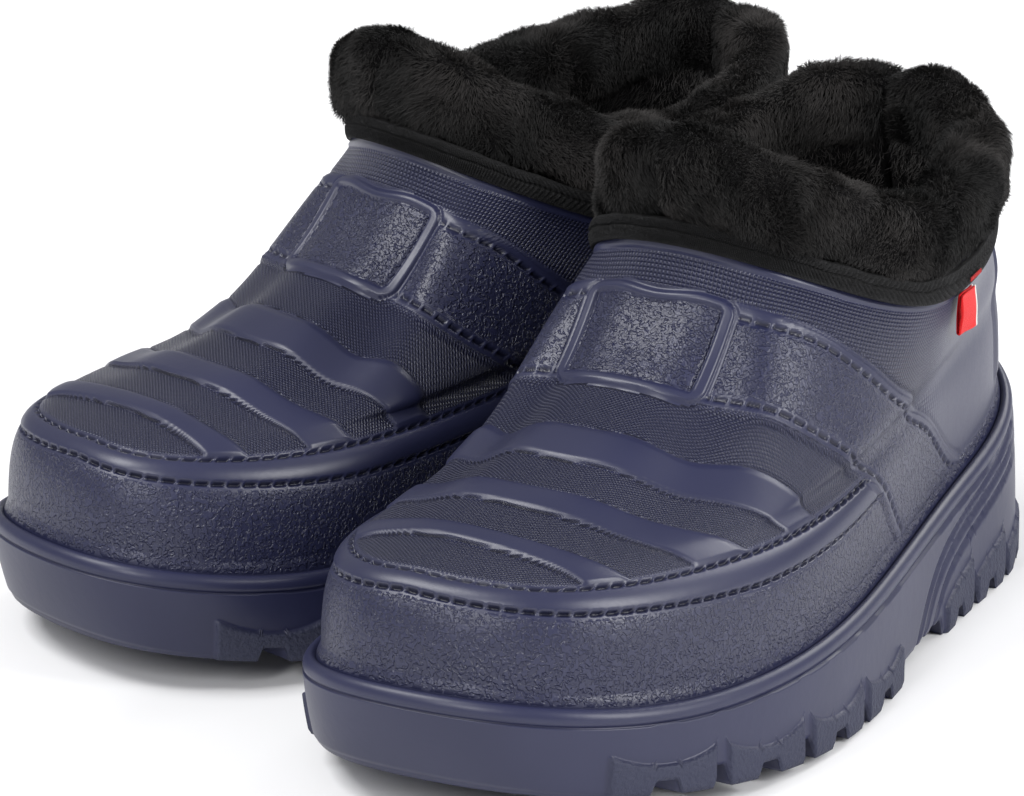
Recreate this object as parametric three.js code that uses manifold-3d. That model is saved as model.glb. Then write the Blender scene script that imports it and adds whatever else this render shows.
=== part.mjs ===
// A pair of low slip-on deck boots: one-shot moulded foam shells with a plush liner.
// Millimetres, +Z up, toes towards -Y, left boot on +X. Each boot is drawn as a left boot in its
// own frame (x to the outer side, y from toe to heel, z up), and the right one is its mirror.
import * as THREE from 'three';
import { mergeVertices } from 'three/addons/utils/BufferGeometryUtils.js';
import Module from 'manifold-3d';

const wasm = await Module();
wasm.setup();

// ---- Driving dimensions ----
const LENGTH = 300; // sole, toe to heel
const OUTER_HALF_WIDTH = 65; // sole centre line to the outer edge at the ball
const INNER_HALF_WIDTH = 59.5; // sole centre line to the inner edge at the ball
const TOE_SHIFT = -9; // tip of the toe from the centre line

const RIM_HEIGHTS = [36, 28, 27.5, 29, 32, 40, 55]; // parting edge of the sole, toe to heel
const RIM_LIP_HEIGHT = 3; // bead above the parting edge
const RIM_LIP_INSET = 3;
const RIM_LEDGE_WIDTH = 5; // from the rim in to the foot of the upper
const RIM_FILLET_HEIGHT = 6.5; // from the rim up to the foot of the upper
const SOLE_FLARE = 1.5; // how far the ground edge stands out past the rim
const SIDEWALL_BELLY = 0.5; // fullness half way up the sole's side
const TOE_UNDERCUT = 7; // how far the ground edge draws in at the toe
const TOE_UNDERCUT_LENGTH = 90;
const TOE_SPRING = 14; // lift of the sole's underside at the toe tip
const TOE_SPRING_LENGTH = 160; // the lugs stand level behind this
const FOOTBED_HEIGHTS = [28, 23, 22, 23, 26, 29, 30]; // top of the moulded sole, toe to heel

const BUMPER_HEIGHTS = [59.5, 58, 57, 59, 63, 69, 79]; // lower edge of the piped stripe
const BUMPER_INSETS = [8.5, 8.5, 8, 6, 5.2, 5.2, 6.5];
const STRIPE_RISE = 5.2; // the stripe climbs this much across its width
const STRIPE_WIDTH = 5; // and draws in this much at the toe
const STRIPE_WIDTH_REAR = 0.6;
const STRIPE_NARROWS = [0.2, 0.75]; // between these shares of the length

const COLLAR_FRONT = 134.5; // throat, behind the toe tip
const COLLAR_HEEL_SETBACK = 25; // collar, ahead of the heel
const COLLAR_OUTER_HALF_WIDTH = 49;
const COLLAR_INNER_HALF_WIDTH = 45.5;
const COLLAR_FRONT_HEIGHT = 126;
const COLLAR_SIDE_HEIGHT = 99;
const COLLAR_REAR_HEIGHT = 113;
const COLLAR_DIP = 1.6; // above 1 keeps the sides low for longer
const COLLAR_ROUNDNESS = 0.88; // 1 is an ellipse, less is squarer
const COLLAR_FRONT_ROUNDNESS = 1;
const COLLAR_ROUNDS_OVER = 0.7; // share of the way forward over which the one becomes the other

const WALL = 4.5; // moulded foam of the upper
const EDGE_RISE = 5; // moulded edge hidden behind the binding
const LINER = 5; // plush and its backing
const LINER_GAP = 1.5; // between the liner and the wall
const LINER_SOLE = 2.7;
const INSOLE = 4;
const FOOTBED_INSET = 9; // cavity corner, in from the wall's own depth
const BINDING_HEIGHT = 7.5;
const BINDING_THICKNESS = 2;
const CUFF_HEIGHT = 24; // plush roll above the binding
const CUFF_OUTSIDE = 6; // roll past the collar line, outwards
const CUFF_INNER_SIDE_OUTSIDE = 2.6; // the same where the two boots press together
const CUFF_INSIDE = 15; // and inwards
const CUFF_SQUARENESS = 0.7; // of the roll's section: 1 is round, less is squarer

const TREAD_DEPTH = 6;
const TREAD_GROOVE = 5;
const TREAD_PITCH = 17;
const TREAD_START = 26; // first cross groove behind the toe
const FOREFOOT_TREAD_END = 165; // the waist between the two treads stands clear of the ground
const HEEL_TREAD_START = 203;
const HEEL_TREAD_END = 290;
const WAIST_LIFT = 5.5;

const TAG_PLACE = 0.305; // share of the way round the collar, from the throat by the outer side
const TAG_WIDTH = 10;
const TAG_LENGTH = 12;
const TAG_THICKNESS = 1.4;
const TAG_CORNER = 1;
const TAG_HANG = 1; // below the binding
const TAG_STANDOFF = 1.6; // off the wall
const BARTACK_WIDTH = 8;
const BARTACK_HEIGHT = 1.4;
const BARTACK_THICKNESS = 0.7;

const TOE_OUT = 8.5; // degrees, each boot
const STAGGER = 26; // the right boot stands this much further back
const BALL_NESTING = 1.75; // turned and staggered boots stand this much closer than their half widths
const CUFF_GAP = 1.55; // each cuff, to the plane between the boots
const CLEARANCE = 0.4; // between pieces that touch

const STEPS = 48; // round the boot

// ---- Curves ----
// A smooth cubic through the values at the knots. A closed one has one more knot than values.
function spline(knots, values, closed = false) {
  const n = values.length;
  const span = (i) => knots[i + 1] - knots[i];
  const bend = new Array(n).fill(0);
  const first = closed ? 0 : 1;
  for (let pass = 0; pass < 60; pass++) {
    for (let i = first; i < n - first; i++) {
      const last = (i + n - 1) % n;
      const next = (i + 1) % n;
      const before = span(last);
      const after = span(i);
      const turn = (values[next] - values[i]) / after - (values[i] - values[last]) / before;
      bend[i] = (6 * turn - before * bend[last] - after * bend[next]) / (2 * (before + after));
    }
  }
  return (t) => {
    const x = closed ? t - Math.floor(t) : t;
    let i = 0;
    while (i < (closed ? n : n - 1) - 1 && x > knots[i + 1]) i++;
    const next = (i + 1) % n;
    const h = span(i);
    const up = x - knots[i];
    const down = knots[i + 1] - x;
    return (bend[i] * down ** 3 + bend[next] * up ** 3) / (6 * h)
      + (values[i] / h - bend[i] * h / 6) * down
      + (values[next] / h - bend[next] * h / 6) * up;
  };
}

// A smooth value along the boot, from its values at equal steps from toe to heel.
function alongBoot(values) {
  const curve = spline(values.map((_, i) => i / (values.length - 1)), values);
  return (y) => curve(THREE.MathUtils.clamp(y / LENGTH, 0, 1));
}
const rimHeight = alongBoot(RIM_HEIGHTS);
const footbedHeight = alongBoot(FOOTBED_HEIGHTS);
const bumperHeight = alongBoot(BUMPER_HEIGHTS);
const bumperInset = alongBoot(BUMPER_INSETS);
const fadeFromToe = (y, length) => THREE.MathUtils.clamp(1 - y / length, 0, 1) ** 2;
const springAt = (y) => TOE_SPRING * fadeFromToe(y, TOE_SPRING_LENGTH);

// The sole's edge seen from above: shares of the half width and of the length.
const OUTLINE = [
  [0, 0.007], [0.37, 0.03], [0.77, 0.127], [1, 0.327], [0.885, 0.55], [0.723, 0.75], [0.57, 0.917],
  [0, 1], [-0.57, 0.917], [-0.655, 0.75], [-0.79, 0.55], [-1, 0.293], [-0.89, 0.12], [-0.59, 0.033],
];
const ROUND = OUTLINE.map((_, i) => i / OUTLINE.length).concat(1);
const outlineX = spline(ROUND, OUTLINE.map(([x], i) => (i ? 0 : TOE_SHIFT)
  + x * (x > 0 ? OUTER_HALF_WIDTH : INNER_HALF_WIDTH)), true);
const outlineY = spline(ROUND, OUTLINE.map(([, y]) => y * LENGTH), true);

function outlineNormal(u) {
  const step = 1e-4;
  const along = new THREE.Vector2(
    outlineX(u + step) - outlineX(u - step),
    outlineY(u + step) - outlineY(u - step),
  );
  return new THREE.Vector2(along.y, -along.x).normalize();
}

// A point on the outline, drawn in by inset and at height z(y).
function ringPoint(u, inset, height) {
  const out = outlineNormal(u);
  const y = outlineY(u);
  const draw = typeof inset === 'function' ? inset(y) : inset;
  return new THREE.Vector3(outlineX(u) - out.x * draw, y - out.y * draw, height(y));
}

// Where each point of the outline meets the collar, in degrees from the throat.
const HALF_TURN = [0, 14, 28, 48, 88, 126, 155, 180];
const COLLAR_TURNS = [...HALF_TURN, ...HALF_TURN.slice(1, -1).reverse().map((turn) => 360 - turn)];
const turnPastEven = spline(ROUND, COLLAR_TURNS.map((turn, i) => turn - 360 * ROUND[i]), true);

function collarPoint(u) {
  const turn = THREE.MathUtils.degToRad(360 * u + turnPastEven(u));
  const c = Math.cos(turn);
  const s = Math.sin(turn);
  const rear = LENGTH - COLLAR_HEEL_SETBACK;
  const end = c > 0 ? COLLAR_FRONT_HEIGHT : COLLAR_REAR_HEIGHT;
  const forward = THREE.MathUtils.smoothstep(c, 0, COLLAR_ROUNDS_OVER);
  const roundness = THREE.MathUtils.lerp(COLLAR_ROUNDNESS, COLLAR_FRONT_ROUNDNESS, forward);
  const squared = (share) => Math.sign(share) * Math.abs(share) ** roundness;
  return new THREE.Vector3(
    squared(s) * (s > 0 ? COLLAR_OUTER_HALF_WIDTH : COLLAR_INNER_HALF_WIDTH),
    (COLLAR_FRONT + rear) / 2 - (rear - COLLAR_FRONT) / 2 * squared(c),
    COLLAR_SIDE_HEIGHT + (end - COLLAR_SIDE_HEIGHT) * Math.abs(c) ** COLLAR_DIP,
  );
}

// ---- The upper's outer surface ----
// Between the stripe and the collar: share of the way in, share of the way up, and bulge, at four
// levels. One row for each point of half the outline, from the toe to the heel.
const SWEEP_TO_COLLAR = [
  [[0.23, 0.12, 0], [0.51, 0.225, 0], [0.77, 0.43, 0], [0.953, 0.726, 0]],
  [[0.227, 0.1, 0], [0.507, 0.214, 0], [0.752, 0.42, -0.6], [0.944, 0.75, -0.6]],
  [[0.225, 0.07, 0], [0.49, 0.165, -0.8], [0.716, 0.408, -1.8], [0.9, 0.755, -1.5]],
  [[0.17, 0.09, 0.5], [0.377, 0.286, -0.4], [0.58, 0.562, -1.5], [0.788, 0.81, -1.3]],
  [[0.25, 0.23, 0.6], [0.5, 0.48, 0.6], [0.75, 0.74, 0.3], [0.88, 0.87, 0.1]],
  [[0.25, 0.25, 1], [0.5, 0.5, 1.4], [0.75, 0.75, 1.2], [0.88, 0.88, 0.6]],
  [[0.12, 0.25, 1.2], [0.35, 0.5, 1.8], [0.65, 0.75, 1.5], [0.83, 0.88, 0.8]],
  [[0.1, 0.25, 0], [0.35, 0.5, 0], [0.68, 0.76, 0], [0.84, 0.88, 0]],
];
const LEVELS = [0, 0.14, 0.2, 0.36, 0.54, 0.72, 0.88, 1];
const LINED_LEVELS = [0.06, 0.25, 0.42, 0.6, 0.72, 0.86, 1]; // rows of the wall's inside and the liner

const stripeWidth = (y) => {
  const back = THREE.MathUtils.smoothstep(y / LENGTH, ...STRIPE_NARROWS);
  return THREE.MathUtils.lerp(STRIPE_WIDTH, STRIPE_WIDTH_REAR, back);
};

// The eight levels of the upper at one point of the outline.
function upperLevels(index) {
  const u = ROUND[index];
  const foot = ringPoint(u, RIM_LEDGE_WIDTH, (y) => rimHeight(y) + RIM_FILLET_HEIGHT);
  const low = ringPoint(u, bumperInset, bumperHeight);
  const top = ringPoint(u, (y) => bumperInset(y) + stripeWidth(y), (y) => bumperHeight(y) + STRIPE_RISE);
  const collar = collarPoint(u);
  const out = outlineNormal(u);
  const between = SWEEP_TO_COLLAR[Math.min(index, OUTLINE.length - index)].map(([way, rise, bulge]) =>
    new THREE.Vector3(
      THREE.MathUtils.lerp(top.x, collar.x, way) + out.x * bulge,
      THREE.MathUtils.lerp(top.y, collar.y, way) + out.y * bulge,
      THREE.MathUtils.lerp(top.z, collar.z, rise),
    ));
  return [foot, low, top, ...between, collar];
}
const NET = OUTLINE.map((_, i) => upperLevels(i));
const LEVEL_CURVES = LEVELS.map((_, level) =>
  ['x', 'y', 'z'].map((axis) => spline(ROUND, NET.map((column) => column[level][axis]), true)));

function upperPoint(u, v) {
  const at = [0, 1, 2].map((axis) => spline(LEVELS, LEVEL_CURVES.map((level) => level[axis](u)))(v));
  return new THREE.Vector3(...at);
}

// The upper's surface moved inwards by depth.
function upperOffset(u, v, depth) {
  const step = 1e-3;
  const here = Math.min(v, 1 - step);
  const round = upperPoint(u + step, here).sub(upperPoint(u - step, here));
  const climb = upperPoint(u, here + step).sub(upperPoint(u, Math.max(here - step, 0)));
  const out = round.cross(climb).normalize();
  return upperPoint(u, v).addScaledVector(out, -depth);
}

// A point beside the collar: out from it and up from it.
function besideCollar(u, out, up) {
  const step = 0.01;
  const ahead = collarPoint(u + step);
  const behind = collarPoint(u - step);
  const away = new THREE.Vector2(ahead.y - behind.y, behind.x - ahead.x).normalize();
  const point = collarPoint(u);
  return new THREE.Vector3(point.x + away.x * out, point.y + away.y * out, point.z + up);
}

// ---- Mesh helpers ----
function geometryOf(points, faces) {
  const geometry = new THREE.BufferGeometry().setFromPoints(points);
  geometry.setIndex(faces.flat());
  return geometry;
}

function solidOf(geometry) {
  const plain = geometry.clone();
  plain.deleteAttribute('normal');
  plain.deleteAttribute('uv');
  const merged = mergeVertices(plain, 1e-4);
  return new wasm.Manifold(new wasm.Mesh({
    numProp: 3,
    vertProperties: merged.attributes.position.array,
    triVerts: new Uint32Array(merged.index.array),
  }));
}

function geometryFromSolid(solid) {
  const mesh = solid.getMesh();
  const geometry = new THREE.BufferGeometry();
  geometry.setAttribute('position', new THREE.BufferAttribute(mesh.vertProperties, 3));
  geometry.setIndex(new THREE.BufferAttribute(mesh.triVerts, 1));
  return geometry;
}

// Two triangles for a quad of point numbers, leaving out one that has no area.
function quad(a, b, c, d) {
  return [[a, b, c], [a, c, d]].filter((face) => new Set(face).size === 3);
}

// Rings that all run round the boot, joined one to the next, with the first and last bridged over.
function ringStack(rings) {
  const faces = [];
  const at = (ring, i) => ring * STEPS + (i + STEPS) % STEPS;
  for (let r = 0; r < rings.length - 1; r++) {
    for (let i = 0; i < STEPS; i++) {
      faces.push(...quad(at(r, i + 1), at(r + 1, i + 1), at(r + 1, i), at(r, i)));
    }
  }
  const last = rings.length - 1;
  for (let i = 0; i < STEPS / 2; i++) {
    faces.push(...quad(at(0, i), at(0, -i), at(0, -i - 1), at(0, i + 1)));
    faces.push(...quad(at(last, i), at(last, i + 1), at(last, -i - 1), at(last, -i)));
  }
  return geometryOf(rings.flat(), faces);
}

// Closed sections joined one to the next. Where the run doesn't close, each end is bridged over.
function sectionRun(sections, closed) {
  const size = sections[0].length;
  const count = sections.length;
  const at = (s, i) => (s % count) * size + (i + size) % size;
  const faces = [];
  for (let s = 0; s < (closed ? count : count - 1); s++) {
    for (let i = 0; i < size; i++) {
      faces.push(...quad(at(s, i), at(s + 1, i), at(s + 1, i + 1), at(s, i + 1)));
    }
  }
  if (!closed) {
    for (let i = 0; i < size / 2 - 1; i++) {
      const j = size - 1 - i;
      faces.push(...quad(at(0, i), at(0, i + 1), at(0, j - 1), at(0, j)));
      faces.push(...quad(at(count - 1, j), at(count - 1, j - 1), at(count - 1, i + 1), at(count - 1, i)));
    }
  }
  return geometryOf(sections.flat(), faces);
}

const aroundBoot = Array.from({ length: STEPS }, (_, i) => i / STEPS);
const ring = (point) => aroundBoot.map(point);

// ---- Pieces of one boot ----
function treadGrooves() {
  const grooves = [];
  const width = 3 * (OUTER_HALF_WIDTH + INNER_HALF_WIDTH);
  const add = (y, length, depth) => {
    const box = new THREE.BoxGeometry(width, length, 2 * depth);
    grooves.push(solidOf(box.translate(0, y, springAt(y))));
  };
  const lastForefoot = FOREFOOT_TREAD_END - TREAD_PITCH / 2;
  const firstHeel = HEEL_TREAD_START + TREAD_PITCH / 2;
  const lastHeel = HEEL_TREAD_END - TREAD_PITCH / 2;
  for (let y = TREAD_START; y < lastForefoot; y += TREAD_PITCH) add(y, TREAD_GROOVE, TREAD_DEPTH);
  for (let y = firstHeel; y < lastHeel; y += TREAD_PITCH) add(y, TREAD_GROOVE, TREAD_DEPTH);
  const waist = HEEL_TREAD_START - FOREFOOT_TREAD_END;
  add(FOREFOOT_TREAD_END + waist / 2, waist, WAIST_LIFT);
  return grooves;
}

// Sole and upper are one moulding: the sidewall, the rim, the upper, and the foot's cavity.
function shellGeometry() {
  const groundInset = (y) =>
    THREE.MathUtils.lerp(-SOLE_FLARE, TOE_UNDERCUT, fadeFromToe(y, TOE_UNDERCUT_LENGTH));
  const bellyInset = (y) => groundInset(y) / 2 - SIDEWALL_BELLY;
  const bellyHeight = (y) => (springAt(y) + rimHeight(y)) / 2;
  const rings = [
    ring((u) => ringPoint(u, groundInset, springAt)),
    ring((u) => ringPoint(u, bellyInset, bellyHeight)),
    ring((u) => ringPoint(u, 0, rimHeight)),
    ring((u) => ringPoint(u, RIM_LIP_INSET, (y) => rimHeight(y) + RIM_LIP_HEIGHT)),
  ];
  for (const v of [0, 0.07, 0.14, 0.2, 0.28, 0.36, 0.45, 0.54, 0.63, 0.72, 0.8, 0.88, 0.94, 1]) {
    rings.push(ring((u) => upperPoint(u, v)));
  }
  rings.push(ring((u) => besideCollar(u, 0, EDGE_RISE)));
  rings.push(ring((u) => besideCollar(u, -WALL, EDGE_RISE)));
  for (const v of [...LINED_LEVELS].reverse()) rings.push(ring((u) => upperOffset(u, v, WALL)));
  rings.push(ring((u) => ringPoint(u, FOOTBED_INSET + WALL, footbedHeight)));
  const body = solidOf(ringStack(rings));
  return geometryFromSolid(treadGrooves().reduce((solid, groove) => solid.subtract(groove), body));
}

// Shares of the way round, from the toe seam to the heel seam on one side.
function halfRound(side) {
  const seam = 0.003;
  return Array.from({ length: STEPS / 2 + 1 }, (_, i) => {
    const u = THREE.MathUtils.clamp(i / STEPS, seam, 0.5 - seam);
    return side > 0 ? u : 0.5 + u;
  });
}

// One side of the plush bootie, from the insole up to the binding.
function linerGeometry(side) {
  const outside = WALL + LINER_GAP;
  const inside = outside + LINER;
  const lift = LINER_SOLE + INSOLE + 3 * CLEARANCE;
  const edge = (u, depth) => ringPoint(u, FOOTBED_INSET + depth, (y) => footbedHeight(y) + lift);
  const sections = halfRound(side).map((u) => {
    const column = (depth) => [
      edge(u, depth),
      ...LINED_LEVELS.map((v) => upperOffset(u, v, depth)),
      besideCollar(u, -depth, BINDING_HEIGHT),
    ];
    return [...column(outside), ...column(inside).reverse()];
  });
  return sectionRun(sections, false);
}

// A flat layer on the footbed, of the given thickness, its underside lifted by base.
function footbedLayer(base, thickness) {
  const inset = FOOTBED_INSET + WALL + 2 * CLEARANCE;
  return ringStack([
    ring((u) => ringPoint(u, inset, (y) => footbedHeight(y) + base)),
    ring((u) => ringPoint(u, inset, (y) => footbedHeight(y) + base + thickness)),
  ]);
}

function bindingGeometry() {
  const inside = 2 * CLEARANCE;
  const outside = inside + BINDING_THICKNESS;
  const corners = [[outside, 0], [outside, BINDING_HEIGHT], [inside, BINDING_HEIGHT], [inside, 0]];
  const sections = aroundBoot.map((u) => corners.map(([out, up]) => besideCollar(u, out, up)));
  return sectionRun(sections, true);
}

// Half of the rolled plush cuff, standing on the binding and the liner's top edge.
function cuffGeometry(side) {
  const bottom = BINDING_HEIGHT + CLEARANCE;
  const sides = 12;
  const sharp = (value) => Math.sign(value) * Math.abs(value) ** CUFF_SQUARENESS;
  const sections = halfRound(side).map((u) => {
    const inward = Math.sqrt(Math.max(0, -Math.sin(2 * Math.PI * u)));
    const outside = THREE.MathUtils.lerp(CUFF_OUTSIDE, CUFF_INNER_SIDE_OUTSIDE, inward);
    return Array.from({ length: sides }, (_, i) => {
      const angle = Math.PI / 2 + 2 * Math.PI * (i + 0.5) / sides;
      const way = (1 + sharp(Math.cos(angle))) / 2;
      const out = THREE.MathUtils.lerp(-CUFF_INSIDE, outside, way);
      return besideCollar(u, out, bottom + CUFF_HEIGHT * (1 + sharp(Math.sin(angle))) / 2);
    });
  });
  return sectionRun(sections, false);
}

// A frame at the tag's top edge: along the collar, down the wall, and out from it.
function tagFrame() {
  const step = 0.01;
  const out = TAG_STANDOFF + TAG_THICKNESS / 2;
  const along = collarPoint(TAG_PLACE + step).sub(collarPoint(TAG_PLACE - step)).normalize();
  const down = upperPoint(TAG_PLACE, 0.88).sub(upperPoint(TAG_PLACE, 1)).normalize();
  const outward = new THREE.Vector3().crossVectors(down, along).normalize();
  const hang = new THREE.Vector3().crossVectors(along, outward);
  const top = upperPoint(TAG_PLACE, 1).addScaledVector(outward, out);
  top.z -= TAG_HANG;
  return new THREE.Matrix4().makeBasis(along.negate(), hang, outward).setPosition(top);
}

function tagGeometry() {
  const shape = new THREE.Shape();
  const half = TAG_WIDTH / 2;
  const cut = TAG_CORNER;
  shape.moveTo(-half, 0).lineTo(half, 0).lineTo(half, TAG_LENGTH - cut).lineTo(half - cut, TAG_LENGTH);
  shape.lineTo(cut - half, TAG_LENGTH).lineTo(-half, TAG_LENGTH - cut);
  const slab = new THREE.ExtrudeGeometry(shape, { depth: TAG_THICKNESS, bevelEnabled: false });
  return slab.translate(0, 0, -TAG_THICKNESS / 2).applyMatrix4(tagFrame());
}

// The stitches that hold the tag, a short bar on the binding's face.
function bartackGeometry() {
  const face = 2 * CLEARANCE + BINDING_THICKNESS + CLEARANCE;
  const rise = BINDING_HEIGHT / 3;
  const bar = new THREE.BoxGeometry(BARTACK_WIDTH, BARTACK_THICKNESS, BARTACK_HEIGHT);
  const middle = besideCollar(TAG_PLACE, face + BARTACK_THICKNESS / 2, rise);
  const step = 0.01;
  const along = collarPoint(TAG_PLACE + step).sub(collarPoint(TAG_PLACE - step)).normalize();
  const away = besideCollar(TAG_PLACE, 1, 0).sub(collarPoint(TAG_PLACE));
  const up = new THREE.Vector3().crossVectors(along, away).normalize();
  return bar.applyMatrix4(new THREE.Matrix4().makeBasis(along, away, up).setPosition(middle));
}

// ---- Materials ----
const foam = new THREE.MeshStandardMaterial({ color: 0x4a4c6b, roughness: 0.5, metalness: 0 });
const plush = new THREE.MeshStandardMaterial({ color: 0x161517, roughness: 1, metalness: 0 });
const felt = new THREE.MeshStandardMaterial({ color: 0x2a2a2e, roughness: 0.95, metalness: 0 });
const braid = new THREE.MeshStandardMaterial({ color: 0x2f2f31, roughness: 0.8, metalness: 0 });
const ribbon = new THREE.MeshStandardMaterial({ color: 0xe21a1a, roughness: 0.6, metalness: 0 });
const thread = new THREE.MeshStandardMaterial({ color: 0xb01414, roughness: 0.7, metalness: 0 });

const PIECES = {
  shell: [shellGeometry(), foam],
  liner_lateral: [linerGeometry(1), plush],
  liner_medial: [linerGeometry(-1), plush],
  liner_sole: [footbedLayer(CLEARANCE, LINER_SOLE), plush],
  insole: [footbedLayer(LINER_SOLE + 2 * CLEARANCE, INSOLE), felt],
  cuff_lateral: [cuffGeometry(1), plush],
  cuff_medial: [cuffGeometry(-1), plush],
  collar_binding: [bindingGeometry(), braid],
  tag: [tagGeometry(), ribbon],
  tag_bartack: [bartackGeometry(), thread],
};

// ---- The pair ----
// Half the distance between the boots' middles: at the balls of the feet, and at the cuffs, which
// stand behind the middle and so come closer together as the toes turn out.
const toeOut = THREE.MathUtils.degToRad(TOE_OUT);
const collarBehindMiddle = (COLLAR_FRONT - COLLAR_HEEL_SETBACK) / 2;
const halfSpacing = Math.max(
  INNER_HALF_WIDTH - BALL_NESTING,
  COLLAR_INNER_HALF_WIDTH + CUFF_INNER_SIDE_OUTSIDE + CUFF_GAP + collarBehindMiddle * Math.sin(toeOut),
);

// Turned so that its toe points to -Y and out by TOE_OUT, about the middle of the sole.
function boot(side, handed) {
  const group = new THREE.Group();
  for (const [name, [geometry, material]] of Object.entries(PIECES)) {
    const piece = new THREE.Mesh(geometry, material);
    piece.name = `${side}_${name}`;
    piece.position.y = -LENGTH / 2;
    group.add(piece);
  }
  group.scale.x = handed;
  group.rotation.z = toeOut * handed;
  group.position.set(handed * halfSpacing, -handed * STAGGER / 2, 0);
  return group;
}

const pair = new THREE.Group();
pair.add(boot('left', 1), boot('right', -1));

// The origin is under the middle of the pair's box.
const box = new THREE.Box3().setFromObject(pair, true);
const middle = box.getCenter(new THREE.Vector3());
pair.position.set(-middle.x, -middle.y, -box.min.z);

export default pair;
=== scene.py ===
"""A pair of low slip-on deck boots: moulded foam, woven binding and a plush lining with a cuff.

Each boot is drawn as a left boot in millimetres: x to the outer side, y from the toe to the heel
and z up. to_world() sets it in the pair, in metres, and mirrors the right one.
"""
import math
import bpy
import numpy as np
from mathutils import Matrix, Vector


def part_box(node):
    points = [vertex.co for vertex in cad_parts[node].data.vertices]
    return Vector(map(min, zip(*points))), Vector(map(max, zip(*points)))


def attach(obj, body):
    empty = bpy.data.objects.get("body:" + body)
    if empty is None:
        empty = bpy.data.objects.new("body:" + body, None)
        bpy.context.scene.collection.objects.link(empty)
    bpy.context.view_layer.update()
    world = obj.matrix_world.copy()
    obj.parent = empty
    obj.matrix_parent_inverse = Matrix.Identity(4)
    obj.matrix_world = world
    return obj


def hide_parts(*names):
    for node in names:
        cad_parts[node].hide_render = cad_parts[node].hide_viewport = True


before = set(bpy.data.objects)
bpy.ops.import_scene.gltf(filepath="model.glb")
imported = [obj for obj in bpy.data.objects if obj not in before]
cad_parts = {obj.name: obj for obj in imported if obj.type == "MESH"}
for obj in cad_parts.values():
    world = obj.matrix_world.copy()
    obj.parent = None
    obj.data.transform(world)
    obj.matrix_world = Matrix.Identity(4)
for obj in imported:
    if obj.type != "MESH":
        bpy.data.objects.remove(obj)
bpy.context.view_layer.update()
MM = 0.001

# ---- Sizes of the frame's shape, in millimetres ----
LENGTH = 300
OUTER_HALF_WIDTH = 65
INNER_HALF_WIDTH = 59.5
TOE_SHIFT = -9
RIM_HEIGHTS = [36, 28, 27.5, 29, 32, 40, 55]
RIM_LEDGE_WIDTH = 5
RIM_FILLET_HEIGHT = 6.5
SOLE_FLARE = 1.5
SIDEWALL_BELLY = 0.5
TOE_UNDERCUT = 7
TOE_UNDERCUT_LENGTH = 90
TOE_SPRING = 14
TOE_SPRING_LENGTH = 160
FOOTBED_HEIGHTS = [28, 23, 22, 23, 26, 29, 30]
BUMPER_HEIGHTS = [59.5, 58, 57, 59, 63, 69, 79]
BUMPER_INSETS = [8.5, 8.5, 8, 6, 5.2, 5.2, 6.5]
STRIPE_RISE = 5.2
STRIPE_WIDTH = 5
STRIPE_WIDTH_REAR = 0.6
COLLAR_FRONT = 134.5
COLLAR_HEEL_SETBACK = 25
COLLAR_OUTER_HALF_WIDTH = 49
COLLAR_INNER_HALF_WIDTH = 45.5
COLLAR_FRONT_HEIGHT = 126
COLLAR_SIDE_HEIGHT = 99
COLLAR_REAR_HEIGHT = 113
COLLAR_DIP = 1.6
COLLAR_ROUNDNESS = 0.88
COLLAR_FRONT_ROUNDNESS = 1
COLLAR_ROUNDS_OVER = 0.7
WALL = 4.5
LINER = 5
LINER_GAP = 1.5
LINER_SOLE = 2.7
INSOLE = 4
FOOTBED_INSET = 9
CLEARANCE = 0.4
BINDING_HEIGHT = 7.5
BINDING_THICKNESS = 2
CUFF_HEIGHT = 24
CUFF_OUTSIDE = 6
CUFF_INNER_SIDE_OUTSIDE = 2.6
CUFF_INSIDE = 15
TAG_PLACE = 0.305
TAG_WIDTH = 10
TAG_LENGTH = 12
TOE_OUT = 8.5

# ---- Curves ----
def bends_of(knots, rows, closed):
    """The second derivatives at the knots of the smooth cubic through the rows."""
    count = len(rows)
    span = np.diff(knots)
    matrix = np.eye(count)
    right = np.zeros((count, rows[0].size))
    flat = rows.reshape(count, -1)
    for i in range(0 if closed else 1, count if closed else count - 1):
        before, after = span[i - 1], span[i]
        matrix[i, i] = 0
        for place, share in ((i - 1, before), (i, 2 * (before + after)), ((i + 1) % count, after)):
            matrix[i, place] += share
        ahead = flat[(i + 1) % count]
        right[i] = 6 * ((ahead - flat[i]) / after - (flat[i] - flat[i - 1]) / before)
    return np.linalg.solve(matrix, right).reshape(rows.shape)


def spline(knots, rows, closed=False):
    """A smooth cubic through the rows. A closed one has one more knot than rows."""
    knots = np.asarray(knots, float)
    rows = np.asarray(rows, float)
    bend = bends_of(knots, rows, closed)
    if closed:
        rows = np.concatenate([rows, rows[:1]])
        bend = np.concatenate([bend, bend[:1]])

    def value(place):
        t = np.asarray(place, float)
        if closed:
            t = t % 1
        i = np.clip(np.searchsorted(knots, t, side="right") - 1, 0, len(knots) - 2)
        shape = (...,) + (None,) * (rows.ndim - 1)
        span = (knots[i + 1] - knots[i])[shape]
        up = (t - knots[i])[shape]
        down = (knots[i + 1] - t)[shape]
        return ((bend[i] * down**3 + bend[i + 1] * up**3) / (6 * span)
                + (rows[i] / span - bend[i] * span / 6) * down
                + (rows[i + 1] / span - bend[i + 1] * span / 6) * up)
    return value


def along_boot(values):
    curve = spline(np.linspace(0, LENGTH, len(values)), values)
    return lambda y: curve(np.clip(y, 0, LENGTH))


rim_height = along_boot(RIM_HEIGHTS)
footbed_height = along_boot(FOOTBED_HEIGHTS)
bumper_height = along_boot(BUMPER_HEIGHTS)
bumper_inset = along_boot(BUMPER_INSETS)


def smooth(low, high, value):
    """0 below low, 1 above high, and a soft step between."""
    t = np.clip((value - low) / (high - low), 0, 1)
    return t * t * (3 - 2 * t)


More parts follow.
